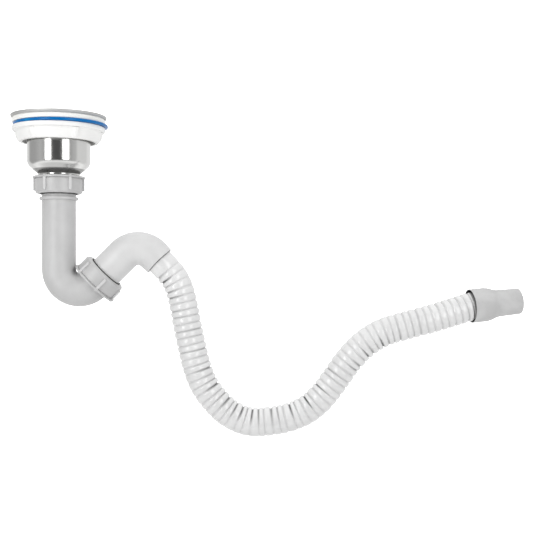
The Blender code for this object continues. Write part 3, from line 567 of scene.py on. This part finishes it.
# The collar is painted shade: black rubber standing out of the nut's end where the gap lies in shade.
WASHER_SHADE_COLLAR = 0.0220
WASHER_SHADE_COLLAR_LENGTH = 0.0080
LOWER_WASHER_PLACE = arm_frame @ Matrix.Translation((0, 0, 0.0135))
LOWER_WASHER_BORE = 0.0208
UPPER_WASHER_PLACE = Matrix.Translation((0, 0, -0.0830)) @ Matrix.Rotation(math.pi, 4, "X")
UPPER_WASHER_BORE = 0.0206
WASHERS = {
    "washer_lower": ("slip_washer_lower", "arm", LOWER_WASHER_PLACE, LOWER_WASHER_BORE),
    "washer_upper": ("slip_washer_upper", "trap", UPPER_WASHER_PLACE, UPPER_WASHER_BORE),
}


def black_rubber(name, gloss, patches, unevenness, grain, detail):
    """Soft black rubber: a matt skin with faint patches and a fine grain."""
    rubber = Finish(name, Specular_IOR_Level=gloss)
    rubber.feed("Base Color", rubber.mixed(rubber.noise(patches), (0.02,) * 3, (0.045,) * 3))
    rubber.feed("Roughness", rubber.noise(300.0) * unevenness + 0.5)
    rubber.bump(rubber.noise(grain, detail), 0.0001)
    return rubber.material


washer_rubber = black_rubber("washer_rubber", 0.4, 90.0, 0.1, 1400.0, 2.0)
for node, (name, body, place, bore) in WASHERS.items():
    washer_shape = spun([
        (bore, 0, 0),
        (WASHER_WIDE, 0, 0.0003),
        (WASHER_WIDE, WASHER_LENGTH - WASHER_TAPER, 0.0005),
        (WASHER_WIDE - WASHER_TAPER, WASHER_LENGTH, 0),
        (WASHER_SHADE_COLLAR, WASHER_LENGTH, 0),
        (WASHER_SHADE_COLLAR, WASHER_SHADE_COLLAR_LENGTH, 0.0003),
        (bore, WASHER_SHADE_COLLAR_LENGTH, 0.0003),
    ], 64)
    bmesh.ops.transform(washer_shape, matrix=place, verts=washer_shape.verts)
    washer = finished(name, washer_shape, washer_rubber)
    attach(washer, body)
    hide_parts(node)


# Slip nuts. Light grey moulded plastic, two alike, each with a rim round its wide end and six grip ribs
# that run over the rim. One draws the elbow into the trap bend, the other the trap bend on to the spigot.
NUT_LENGTH = 0.0208
NUT_BORE = 0.0243
NUT_BODY = 0.0283
NUT_NARROW = 0.0280
NUT_RIM = 0.0311
NUT_RIM_THICKNESS = 0.0023
NUT_GROOVE = 0.0006
NUT_HOLE = 0.0224
NUT_SHOULDER = 0.0020
NUT_CHAMFER = 0.0017
NUT_EDGE = 0.0003
NUT_RIBS = 6
RIB_WIDTH = 0.0032
RIB_ROUND = 0.48
RIB_CREST = 0.0305
RIB_LENGTH = 0.0175
RIB_OVERHANG = 0.0007
RIB_SUNK = 0.0030
LOWER_NUT_START = -0.0002
LOWER_NUT_TURN = math.radians(-71)
UPPER_NUT_START = -0.0693
UPPER_NUT_TURN = math.radians(9)
upper_nut_place = Matrix.Translation((0, 0, UPPER_NUT_START)) @ Matrix.Rotation(UPPER_NUT_TURN, 4, "Z")
upper_nut_place = upper_nut_place @ Matrix.Rotation(math.pi, 4, "X")
lower_nut_place = Matrix.Translation((0, 0, LOWER_NUT_START)) @ Matrix.Rotation(LOWER_NUT_TURN, 4, "Z")
SLIP_NUTS = {
    "slip_nut_lower": ("elbow_slip_nut", "lower_nut", arm_frame @ lower_nut_place),
    "slip_nut_upper": ("spigot_slip_nut", "upper_nut", upper_nut_place),
}


def grip_rib(bm, turn):
    """A bar along the nut's side, its outer corners rounded and its narrow end rounded in plan."""
    length = RIB_LENGTH + RIB_OVERHANG
    made = bmesh.ops.create_cube(bm, size=1)["verts"]
    bmesh.ops.scale(bm, verts=made, vec=(RIB_SUNK, RIB_WIDTH, length))
    far_end = [
        edge for corner in made for edge in corner.link_edges
        if all(v.co.z > 0 and v.co.y == edge.verts[0].co.y for v in edge.verts)
    ]
    faces = {face for corner in made for face in corner.link_faces}
    made = bmesh.ops.bevel(
        bm, geom=list(set(far_end)), offset=RIB_ROUND * RIB_WIDTH, offset_type="OFFSET", segments=6,
        profile=0.5, affect="EDGES", material=-1,
    )
    faces = {face for face in faces if face.is_valid} | set(made["faces"])
    corners = list({corner for face in faces for corner in face.verts})
    raised_layer = bm.verts.layers.float["raised"]
    # The rib's outer faces are marked for a painted highlight, lighter than the nut's body.
    for corner in corners:
        corner[raised_layer] = corner.co.x > 0
    middle = Matrix.Translation((RIB_CREST - 0.5 * RIB_SUNK, 0, 0.5 * length - RIB_OVERHANG))
    bmesh.ops.transform(bm, matrix=turn @ middle, verts=corners)


# The nut's body takes the darker tone and the ribs' outer faces the lighter one: a painted highlight on
# the ribs.
nut_plastic = moulded_plastic("nut_plastic", (0.63, 0.63, 0.63), (0.47, 0.47, 0.47), 0.36, raised=0.75)
for node, (name, body, place) in SLIP_NUTS.items():
    nut_shape = spun([
        (NUT_BORE, 0, 0.0004),
        (NUT_RIM, 0, 0.0006),
        (NUT_RIM, NUT_RIM_THICKNESS, 0.0005),
        (NUT_BODY - NUT_GROOVE, NUT_RIM_THICKNESS, 0.0001),
        (NUT_BODY - NUT_GROOVE, NUT_RIM_THICKNESS + NUT_GROOVE, 0),
        (NUT_BODY, NUT_RIM_THICKNESS + 2 * NUT_GROOVE, 0.0003),
        (NUT_NARROW, NUT_LENGTH - NUT_CHAMFER, 0.0008),
        (NUT_NARROW - NUT_CHAMFER, NUT_LENGTH, 0.0005),
        (NUT_HOLE, NUT_LENGTH, 0.0005),
        (NUT_HOLE, NUT_LENGTH - NUT_SHOULDER, 0),
        (NUT_BORE, NUT_LENGTH - NUT_SHOULDER, 0),
    ], 120)
    nut_shape.verts.layers.float.new("raised")
    for number in range(NUT_RIBS):
        grip_rib(nut_shape, Matrix.Rotation(math.tau * number / NUT_RIBS, 4, "Z"))
    bmesh.ops.transform(nut_shape, matrix=place, verts=nut_shape.verts)
    nut = finished(name, nut_shape, nut_plastic, edge=NUT_EDGE)
    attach(nut, body)
    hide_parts(node)


# Trap bend. A J-shaped pipe of light grey plastic that holds the water seal, moulded in one with a bead
# below its tail, which the upper nut is kept by, and with the threaded socket at its slanted end.
PIPE_RADIUS = 0.0203
PIPE_BORE = 0.0182
PIPE_TOP = -0.0745
BEAD_TOP = -0.0941
BEAD_RADIUS = 0.0233
BEAD_WIDTH = 0.0039
BEAD_CHAMFER = 0.0004
BEND_DEPTH = -0.1815
BEND_RADIUS = 0.0250
BEND_ANGLE = math.radians(135)
SOCKET_RADIUS = 0.0240
SOCKET_BORE = 0.0208
SOCKET_LENGTH = 0.0132
SOCKET_DEPTH = 0.0082
SOCKET_START = 0.0012
SOCKET_RUNOUT = 0.0004

tail_top = Matrix.Translation((0, 0, PIPE_TOP)) @ Matrix.Rotation(math.pi, 4, "X")
bend_tube = Tube(tail_top, PIPE_BORE)
bend_tube.run(0, PIPE_RADIUS)
bend_tube.run(PIPE_TOP - BEAD_TOP)
bend_tube.run(BEAD_CHAMFER, BEAD_RADIUS)
bend_tube.run(BEAD_WIDTH - 2 * BEAD_CHAMFER)
bend_tube.run(BEAD_CHAMFER, PIPE_RADIUS)
bend_tube.run(BEAD_TOP - BEAD_WIDTH - BEND_DEPTH)
bend_tube.bend(BEND_ANGLE, BEND_RADIUS, 48)
bend_tube.run(SOCKET_START)
bend_tube.run(SOCKET_RUNOUT, SOCKET_RADIUS)
bend_tube.run(SOCKET_LENGTH - SOCKET_START - SOCKET_RUNOUT)
bend_tube.run(0, SOCKET_BORE)
bend_tube.run(-SOCKET_DEPTH)
bend_tube.run(0, PIPE_BORE)
bend_tube.run(SOCKET_DEPTH - SOCKET_LENGTH)
bend_tube.bend(-BEND_ANGLE, BEND_RADIUS, 30)
bend_tube.run(BEND_DEPTH - PIPE_TOP)
trap_plastic = moulded_plastic(
    "trap_plastic", (0.53, 0.53, 0.53), (0.49, 0.49, 0.49), 0.42, parting=PARTING_WIDTH
)
trap = finished("trap_bend_pipe", bend_tube.close(), trap_plastic, edge=PIPE_EDGE)
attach(trap, "trap")
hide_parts("trap_bend")


# Outlet spigot. A turned steel sleeve that is rolled into the cup's neck: its lip sits on the cone above,
# and the thread below the neck takes the upper slip nut.
SPIGOT_BORE = 0.0178
SPIGOT_TOP = -0.0654
SPIGOT_LIP = 0.0008
SPIGOT_LIP_REACH = 0.0004
SPIGOT_PLAY = 0.0003
NECK_TOP = -0.0661
NECK_END = -0.0692
NECK_INSIDE = 0.0240
THREAD_CREST = 0.0240
THREAD_ROOT = 0.0232
THREAD_END = -0.0827
THREAD_TURNS = 6
THREAD_FLAT = 0.15
THREAD_FLANK = 0.45
COUNTERBORE = 0.0206
COUNTERBORE_TOP = -0.0742
STEEL_SHADOW = 0.42
SATIN_FADE = 0.0004
SATIN_DULLNESS = 0.5


def brushed_steel(name, tone, roughness, lines, satin_above=None, painted_dark_reflection=None, **constants):
    """Stainless steel, polished on the lathe: fine lines that run round the piece's own axis.

    satin_above is the reach and height past which the polish ends. A band whose colour is painted dark, a
    painted reflection of shade, is given by its lowest and highest point and how softly it ends.
    """
    steel = Finish(name, Metallic=1.0, **constants)
    flat = steel.node("ShaderNodeVectorMath", {"operation": "MULTIPLY"}, {0: steel.place, 1: (1, 1, 0)})
    reach = steel.node("ShaderNodeVectorMath", {"operation": "LENGTH"}, {0: flat}, "Value")
    height = steel.part(steel.place, "Z")
    across = steel.node("ShaderNodeCombineXYZ", None, {"X": reach * lines, "Z": height * lines})
    cut = steel.noise(1.0, 3.0, across)
    wear = steel.noise(70.0, 4.0)
    cut_tone_and_painted_shade = cut.ramp(0.3, 0.7) * 0.12 + 0.88
    # Painted reflection of shade: the band's colour is darkened towards the dark tone.
    if painted_dark_reflection:
        low, high, soft = painted_dark_reflection
        cut_tone_and_painted_shade = cut_tone_and_painted_shade * (1 - height.ramp(low - soft, low) * height.ramp(high - soft, high, 1.0, 0.0))
    steel.feed("Base Color", steel.mixed(cut_tone_and_painted_shade, [STEEL_SHADOW * t for t in tone], tone))
    dullness = cut * 0.10 + wear * 0.06 + (roughness - 0.08)
    if satin_above:
        edge_reach, edge_height = satin_above
        far_out = reach.ramp(edge_reach - SATIN_FADE, edge_reach)
        high_up = height.ramp(edge_height - SATIN_FADE, edge_height)
        dullness = dullness + far_out * high_up * SATIN_DULLNESS
    steel.feed("Roughness", dullness)
    steel.bump(cut, 0.00002)
    return steel.material


thread_start = NECK_END - SPIGOT_PLAY
thread_pitch = (thread_start - THREAD_END) / THREAD_TURNS
spigot_outline = [
    (SPIGOT_BORE, SPIGOT_TOP, 0.0003),
    (NECK_INSIDE + SPIGOT_LIP_REACH, SPIGOT_TOP, 0.0003),
    (NECK_INSIDE - SPIGOT_PLAY, SPIGOT_TOP - SPIGOT_LIP, 0),
    (NECK_INSIDE - SPIGOT_PLAY, thread_start, 0),
    (THREAD_ROOT, thread_start, 0),
]
for turn in range(THREAD_TURNS):
    crest_height = thread_start - (turn + 0.5) * thread_pitch
    spigot_outline.append((THREAD_CREST, crest_height + THREAD_FLAT * thread_pitch, 0))
    spigot_outline.append((THREAD_CREST, crest_height - THREAD_FLAT * thread_pitch, 0))
    spigot_outline.append((THREAD_ROOT, crest_height - THREAD_FLANK * thread_pitch, 0))
spigot_outline += [
    (THREAD_ROOT, THREAD_END, 0),
    (COUNTERBORE, THREAD_END, 0.0003),
    (COUNTERBORE, COUNTERBORE_TOP, 0),
    (SPIGOT_BORE, COUNTERBORE_TOP, 0),
]
spigot_steel = brushed_steel("spigot_steel", (0.60, 0.60, 0.60), 0.24, 2500.0)
spigot = finished("threaded_spigot", spun(spigot_outline, 96), spigot_steel)
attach(spigot, "strainer")
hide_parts("outlet_spigot")


# Outlet grid. A pressed steel ring with a cross and a hub, which lies on the spigot's lip.
# It stops cutlery from going down, and the basket's post clips into the hole in its hub.
GRID_BOTTOM = -0.0651
GRID_TOP = -0.0639
GRID_RIM = 0.0247
GRID_EDGE = 0.0002
GRID_BARS = 4
GRID_BAR_WIDTH = 0.0030
GRID_BAR_THICKNESS = 0.8
BAR_IN_HUB = 0.0008
BAR_IN_RIM = 0.0012
HUB_RADIUS = 0.0065
HUB_LENGTH = 0.0030
HUB_HOLE = 0.0037

pressed_steel = brushed_steel("pressed_steel", (0.60, 0.60, 0.59), 0.28, 1800.0)
grid_shape = spun([
    (SPIGOT_BORE, GRID_BOTTOM, 0.0002),
    (GRID_RIM, GRID_BOTTOM, 0.0002),
    (GRID_RIM, GRID_TOP, 0.0003),
    (SPIGOT_BORE, GRID_TOP, 0.0003),
], 96)
hub_shape = spun([
    (HUB_HOLE, GRID_TOP - HUB_LENGTH, 0.0002),
    (HUB_RADIUS, GRID_TOP - HUB_LENGTH, 0.0003),
    (HUB_RADIUS, GRID_TOP, 0.0005),
    (HUB_HOLE, GRID_TOP, 0.0003),
], 48)
hub_mesh = bpy.data.meshes.new("grid_hub")
hub_shape.to_mesh(hub_mesh)
hub_shape.free()
grid_shape.from_mesh(hub_mesh)
bar_start = HUB_HOLE + BAR_IN_HUB
bar_end = SPIGOT_BORE + BAR_IN_RIM
bar_thickness = GRID_BAR_THICKNESS * (GRID_TOP - GRID_BOTTOM)
for number in range(GRID_BARS):
    bar = bmesh.ops.create_cube(grid_shape, size=1)["verts"]
    turn = Matrix.Rotation(math.tau * (number + 0.5) / GRID_BARS, 4, "Z")
    middle = Matrix.Translation((0.5 * (bar_start + bar_end), 0, 0.5 * (GRID_BOTTOM + GRID_TOP)))
    size = Matrix.Diagonal((bar_end - bar_start, GRID_BAR_WIDTH, bar_thickness, 1))
    bmesh.ops.transform(grid_shape, matrix=turn @ middle @ size, verts=bar)
grid = finished("pressed_grid", grid_shape, pressed_steel, edge=GRID_EDGE)
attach(grid, "strainer")
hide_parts("outlet_grid")


# Strainer cup. Flange, barrel, cup and cone, drawn from one sheet of stainless steel in several steps,
# with the neck trimmed open and the outside polished on a spindle.
SHEET = 0.0009
FLANGE_RADIUS = 0.0570
FLANGE_HEIGHT = 0.0038
RIM_LEAN = 0.0014
RIM_UPRIGHT = 0.0013
FLAT_RADIUS = 0.0475
DISH_FOOT = -0.0010
BARREL_INSIDE = 0.0406
BARREL_DEPTH = -0.0205
CUP_STEP = 0.0030
CUP_INSIDE = 0.03685
CUP_DEPTH = -0.0544
RIM_SATIN = (FLANGE_RADIUS - 0.0012, -0.0002)
# A band of the cone above the neck is painted dark: a painted reflection of the shaded nut top below it.
CONE_SHADOW = (NECK_TOP + 0.0002, -0.0604, 0.0010)


def inside_up(bm):
    """Turns an open shell over where its flattest face looks down, so that its inside is its front."""
    if max(bm.faces, key=lambda face: abs(face.normal.z)).normal.z < 0:
        bmesh.ops.reverse_faces(bm, faces=bm.faces)
    return bm


def give_sheet(piece, thickness):
    """Gives an open shell the thickness of its sheet, on its back."""
    wall = piece.modifiers.new("Sheet", "SOLIDIFY")
    wall.thickness = thickness
    wall.offset = -1
    wall.use_even_offset = True


cup_shape = spun([
    (FLANGE_RADIUS - RIM_LEAN, 0, 0),
    (FLANGE_RADIUS, FLANGE_HEIGHT - RIM_UPRIGHT, 0.0006),
    (FLANGE_RADIUS, FLANGE_HEIGHT, 0.0004),
    (FLAT_RADIUS, FLANGE_HEIGHT, 0.0030),
    (BARREL_INSIDE, DISH_FOOT, 0.0045),
    (BARREL_INSIDE, BARREL_DEPTH, 0.0018),
    (CUP_INSIDE, BARREL_DEPTH - CUP_STEP, 0.0022),
    (CUP_INSIDE, CUP_DEPTH, 0.0036),
    (NECK_INSIDE, NECK_TOP, 0.0012),
    (NECK_INSIDE, NECK_END, 0),
], 160, closed=False, segments=8)
polished_steel = brushed_steel(
    "polished_steel", (0.64, 0.64, 0.63), 0.17, 2200.0, satin_above=RIM_SATIN, painted_dark_reflection=CONE_SHADOW,
    Anisotropic=0.5, Anisotropic_Rotation=0.25,
)
cup = finished("strainer_cup", inside_up(cup_shape), polished_steel)
give_sheet(cup, SHEET)
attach(cup, "strainer")
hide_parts("strainer_body")


# Flange gasket. A ring of white closed-cell foam, pressed into the recess under the flange.
# It is squeezed between the flange and the sink's floor.
GASKET_INSIDE = 0.0478
GASKET_OUTSIDE = 0.0552
GASKET_TUCK = 0.0546
GASKET_STEP = -0.0004
GASKET_BOTTOM = -0.0057
GASKET_TOP = 0.0026

foam = Finish("gasket_foam", Specular_IOR_Level=0.3)
cells = foam.noise(700.0, 4.0)
foam.feed("Base Color", foam.mixed(cells.ramp(0.3, 0.7), (0.82, 0.82, 0.79), (0.9, 0.9, 0.88)))
foam.feed("Roughness", cells * 0.1 + 0.7)
foam.bump(cells, 0.0002)
gasket_shape = spun([
    (GASKET_INSIDE, GASKET_BOTTOM, 0.0004),
    (GASKET_OUTSIDE, GASKET_BOTTOM, 0.0010),
    (GASKET_OUTSIDE, GASKET_STEP, 0.0003),
    (GASKET_TUCK, 0, 0),
    (GASKET_TUCK, GASKET_TOP, 0.0010),
    (GASKET_INSIDE, GASKET_TOP, 0.0004),
], 128)
gasket = finished("foam_gasket", gasket_shape, foam.material)
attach(gasket, "strainer")
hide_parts("flange_gasket")


# Seal ring. Smooth blue rubber, cut as a flat washer with soft edges.
# It lies under the sink's floor, loose round the barrel, and has been pushed a little to one side.
SEAL_INSIDE = 0.0451
SEAL_OUTSIDE = 0.0563
SEAL_TOP = -0.0060
SEAL_BOTTOM = -0.0094
SEAL_SHIFT = 0.0023

seal_rubber = Finish("seal_rubber", Specular_IOR_Level=0.15, Coat_Weight=0.1, Coat_Roughness=0.1)
sheen = seal_rubber.noise(32.0).ramp(0.5, 0.68)
seal_rubber.feed("Base Color", seal_rubber.mixed(sheen, (0.0, 0.14, 0.42), (0.0, 0.34, 0.62)))
seal_rubber.feed("Roughness", seal_rubber.noise(260.0) * 0.12 + 0.2)
seal_rubber.bump(seal_rubber.noise(900.0), 0.00006)
seal_shape = spun([
    (SEAL_INSIDE, SEAL_BOTTOM, 0.0006),
    (SEAL_OUTSIDE, SEAL_BOTTOM, 0.0012),
    (SEAL_OUTSIDE, SEAL_TOP, 0.0012),
    (SEAL_INSIDE, SEAL_TOP, 0.0006),
], 128)
bmesh.ops.translate(seal_shape, verts=seal_shape.verts, vec=(SEAL_SHIFT, 0, 0))
seal = finished("seal_washer", seal_shape, seal_rubber.material)
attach(seal, "strainer")
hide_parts("seal_ring")


# Backing nut. White moulded plastic: a broad flange that presses the seal ring to the sink, a thread on
# the barrel, and a hollow skirt below with shallow ribs to grip it by.
BACKING_BORE = 0.0418
BACKING_TOP = -0.0097
BACKING_FLANGE = 0.0553
BACKING_FLANGE_BOTTOM = -0.0151
BACKING_THREAD_BOTTOM = -0.0175
BACKING_BOTTOM = -0.0281
SKIRT_TOP = 0.0510
SKIRT_KNEE = 0.0501
SKIRT_KNEE_HEIGHT = -0.02355
SKIRT_END = 0.0472
SKIRT_WALL = 0.0046
SKIRT_RIBS = 6
SKIRT_RIB = 0.0016
LOWER_RIB = 0.0008
SKIRT_RIB_WIDTH = 0.0050
SKIRT_TURN = math.radians(6)

backing_shape = spun([
    (BACKING_BORE, BACKING_TOP, 0.0004),
    (BACKING_FLANGE, BACKING_TOP, 0.0008),
    (BACKING_FLANGE, BACKING_FLANGE_BOTTOM, 0.0010),
    (SKIRT_TOP, BACKING_FLANGE_BOTTOM, 0.0008),
    (SKIRT_KNEE, SKIRT_KNEE_HEIGHT, 0.0060),
    (SKIRT_END, BACKING_BOTTOM, 0.0008),
    (SKIRT_END - SKIRT_WALL, BACKING_BOTTOM, 0.0008),
    (SKIRT_KNEE - SKIRT_WALL, SKIRT_KNEE_HEIGHT, 0.0040),
    (SKIRT_TOP - SKIRT_WALL, BACKING_THREAD_BOTTOM, 0.0010),
    (BACKING_BORE, BACKING_THREAD_BOTTOM, 0.0003),
], 168)
for vertex in backing_shape.verts:
    reach = math.hypot(vertex.co.x, vertex.co.y)
    on_skirt = vertex.co.z < BACKING_FLANGE_BOTTOM + CLOSE
    outside = SKIRT_END - 0.5 * SKIRT_WALL < reach < SKIRT_TOP + CLOSE
    turn = math.atan2(vertex.co.y, vertex.co.x) / (math.tau / SKIRT_RIBS) % 1
    away = abs(turn - round(turn)) * math.tau / SKIRT_RIBS * reach
    if on_skirt and outside and away < 0.5 * SKIRT_RIB_WIDTH:
        rise = SKIRT_RIB if vertex.co.z > SKIRT_KNEE_HEIGHT else LOWER_RIB
        vertex.co.xy *= (reach + rise) / reach
skirt_turn = Matrix.Rotation(SKIRT_TURN, 3, "Z")
bmesh.ops.rotate(backing_shape, verts=backing_shape.verts, cent=(0, 0, 0), matrix=skirt_turn)
white_plastic = moulded_plastic("backing_plastic", (0.87, 0.87, 0.86), (0.83, 0.83, 0.82), 0.5)
backing = finished("backing_nut_white", backing_shape, white_plastic)
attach(backing, "backing")
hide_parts("backing_nut")


# Basket. Thin stainless steel, pressed to a tapered bowl with a rolled rim and punched with round holes.
# It lifts out by its knob and lies on its stopper in the cup's cone.
BASKET_SHEET = 0.0008
BASKET_FLOOR_HEIGHT = -0.0570
BASKET_TOP = -0.0268
BASKET_RIM = 0.0354
BASKET_SHOULDER = 0.0016
BASKET_FLOOR = 0.0235
BASKET_HEIGHT = 0.0310
BASKET_CENTRE_HOLE = 0.0028
BASKET_HOLE = 0.0023
BASKET_HOLES = 14
BASKET_ROWS = (0.30, 0.60)
FLOOR_HOLES = 9
FLOOR_HOLE_REACH = 0.65
PUNCH_LENGTH = 0.012


def add_punch(bm, matrix):
    """A round punch, as wide as the basket's holes."""
    bmesh.ops.create_cone(
        bm, cap_ends=True, segments=20, radius1=BASKET_HOLE, radius2=BASKET_HOLE, depth=PUNCH_LENGTH,
        matrix=matrix,
    )


basket_shape = spun([
    (BASKET_RIM, BASKET_TOP, 0),
    (BASKET_RIM, BASKET_TOP - BASKET_SHOULDER, 0.0008),
    (BASKET_RIM - BASKET_SHOULDER, BASKET_TOP - 2 * BASKET_SHOULDER, 0.0008),
    (BASKET_FLOOR, BASKET_FLOOR_HEIGHT, 0.0020),
    (BASKET_CENTRE_HOLE, BASKET_FLOOR_HEIGHT, 0),
], 112, closed=False, segments=5)
basket_steel = brushed_steel("basket_steel", (0.62, 0.62, 0.60), 0.24, 1500.0)
basket = finished("strainer_basket_bowl", inside_up(basket_shape), basket_steel)
give_sheet(basket, BASKET_SHEET)

punch_shape = bmesh.new()
for row, share in enumerate(BASKET_ROWS):
    for hole in range(BASKET_HOLES):
        turn = Matrix.Rotation(math.tau * (hole + 0.5 * row) / BASKET_HOLES, 4, "Z")
        reach = BASKET_FLOOR + share * (BASKET_RIM - BASKET_FLOOR)
        place = Matrix.Translation((reach, 0, BASKET_FLOOR_HEIGHT + share * BASKET_HEIGHT))
        add_punch(punch_shape, turn @ place @ Matrix.Rotation(math.pi / 2, 4, "Y"))
for hole in range(FLOOR_HOLES):
    turn = Matrix.Rotation(math.tau * hole / FLOOR_HOLES, 4, "Z")
    place = Matrix.Translation((FLOOR_HOLE_REACH * BASKET_FLOOR, 0, BASKET_FLOOR_HEIGHT))
    add_punch(punch_shape, turn @ place)
punch = finished("basket_punch", punch_shape, basket_steel)
holes = basket.modifiers.new("Holes", "BOOLEAN")
holes.operation = "DIFFERENCE"
holes.solver = "EXACT"
holes.object = punch
bpy.context.view_layer.update()
punched = bpy.data.meshes.new_from_object(basket.evaluated_get(bpy.context.evaluated_depsgraph_get()))
basket.modifiers.clear()
basket.data = punched
bpy.data.objects.remove(punch, do_unlink=True)
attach(basket, "basket")
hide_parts("strainer_basket")


# Basket's stopper and post. A black rubber disc closes the cup's cone; a steel washer holds it up against
# the basket, and the post's spring sleeve clips into the grid's hub.
STOPPER_BOTTOM = -0.0621
STOPPER_TOP = -0.0581
STOPPER_RADIUS = 0.02847
STOPPER_UNDERCUT = 0.00225
STOPPER_LIP = 0.0004
STOPPER_SHOULDER = 0.0014
STOPPER_DOME = 0.0045
POST_RADIUS = 0.0025
POST_BORE = 0.0028
POST_HEAD = 0.0031
POST_TOP = -0.0036
POST_BOTTOM = -0.0739
POST_HEAD_LENGTH = 0.0018
CLIP_BORE = 0.00265
CLIP_PLAY = 0.0003
STOPPER_WASHER = 0.0110
STOPPER_WASHER_BOTTOM = -0.0634
STOPPER_WASHER_TOP = -0.0628

stopper_rubber = black_rubber("stopper_rubber", 0.45, 120.0, 0.2, 1200.0, 3.0)
post_steel = brushed_steel("post_steel", (0.58, 0.58, 0.57), 0.26, 3000.0)
POST_PIECES = {
    "basket_stopper": ("rubber_stopper", "black_rubber", stopper_rubber, True, [
        (POST_BORE, STOPPER_BOTTOM - STOPPER_LIP, 0.0002),
        (STOPPER_RADIUS - STOPPER_UNDERCUT, STOPPER_BOTTOM - STOPPER_LIP, 0.0006),
        (STOPPER_RADIUS, STOPPER_BOTTOM + STOPPER_LIP, 0.0004),
        (STOPPER_RADIUS - STOPPER_LIP, STOPPER_TOP - STOPPER_SHOULDER, 0.0006),
        (STOPPER_RADIUS - STOPPER_DOME, STOPPER_TOP, 0.0008),
        (POST_BORE, STOPPER_TOP, 0.0002),
    ]),
    "stopper_washer": ("stopper_plate", "pressed_steel", pressed_steel, True, [
        (POST_BORE, STOPPER_WASHER_BOTTOM, 0),
        (STOPPER_WASHER, STOPPER_WASHER_BOTTOM, 0.0002),
        (STOPPER_WASHER, STOPPER_WASHER_TOP, 0.0002),
        (POST_BORE, STOPPER_WASHER_TOP, 0),
    ]),
    "basket_stem": ("basket_post", "pressed_steel", post_steel, False, [
        (0, POST_TOP, 0),
        (POST_RADIUS, POST_TOP, 0.0002),
        (POST_RADIUS, POST_BOTTOM + POST_HEAD_LENGTH, 0),
        (POST_HEAD, POST_BOTTOM + POST_HEAD_LENGTH, 0.0003),
        (POST_RADIUS, POST_BOTTOM, 0.0005),
        (0, POST_BOTTOM, 0),
    ]),
    "stem_clip": ("post_spring_sleeve", "pressed_steel", post_steel, True, [
        (CLIP_BORE, POST_BOTTOM + POST_HEAD_LENGTH + CLIP_PLAY, 0),
        (POST_HEAD, POST_BOTTOM + POST_HEAD_LENGTH + CLIP_PLAY, 0.0001),
        (POST_HEAD, STOPPER_WASHER_BOTTOM - CLIP_PLAY, 0.0001),
        (CLIP_BORE, STOPPER_WASHER_BOTTOM - CLIP_PLAY, 0),
    ]),
}
for node, (name, slot, paint, closed, outline) in POST_PIECES.items():
    piece = finished(name, spun(outline, 64, closed), paint)
    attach(piece, "basket")
    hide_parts(node)


# Basket's knob. Turned from steel bar and polished, with a waist to hold it by.
# It is screwed on to the post's top, above the basket's rim.
KNOB_TOP = 0.0012
KNOB_LENGTH = 0.0112
KNOB_RADIUS = 0.0095
KNOB_WAIST = 0.0052

knob_steel = brushed_steel("knob_steel", (0.64, 0.64, 0.63), 0.15, 3500.0)
knob_shape = spun([
    (0, KNOB_TOP, 0),
    (0.80 * KNOB_RADIUS, KNOB_TOP, 0.0012),
    (KNOB_RADIUS, KNOB_TOP - 0.12 * KNOB_LENGTH, 0.0010),
    (0.95 * KNOB_RADIUS, KNOB_TOP - 0.35 * KNOB_LENGTH, 0.0010),
    (KNOB_WAIST, KNOB_TOP - 0.65 * KNOB_LENGTH, 0.0020),
    (KNOB_WAIST, KNOB_TOP - KNOB_LENGTH, 0.0004),
    (POST_BORE, KNOB_TOP - KNOB_LENGTH, 0),
    (POST_BORE, KNOB_TOP - 0.4 * KNOB_LENGTH, 0),
    (0, KNOB_TOP - 0.4 * KNOB_LENGTH, 0),
], 80, closed=False)
knob = finished("basket_lift_knob", knob_shape, knob_steel)
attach(knob, "basket")
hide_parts("basket_knob")
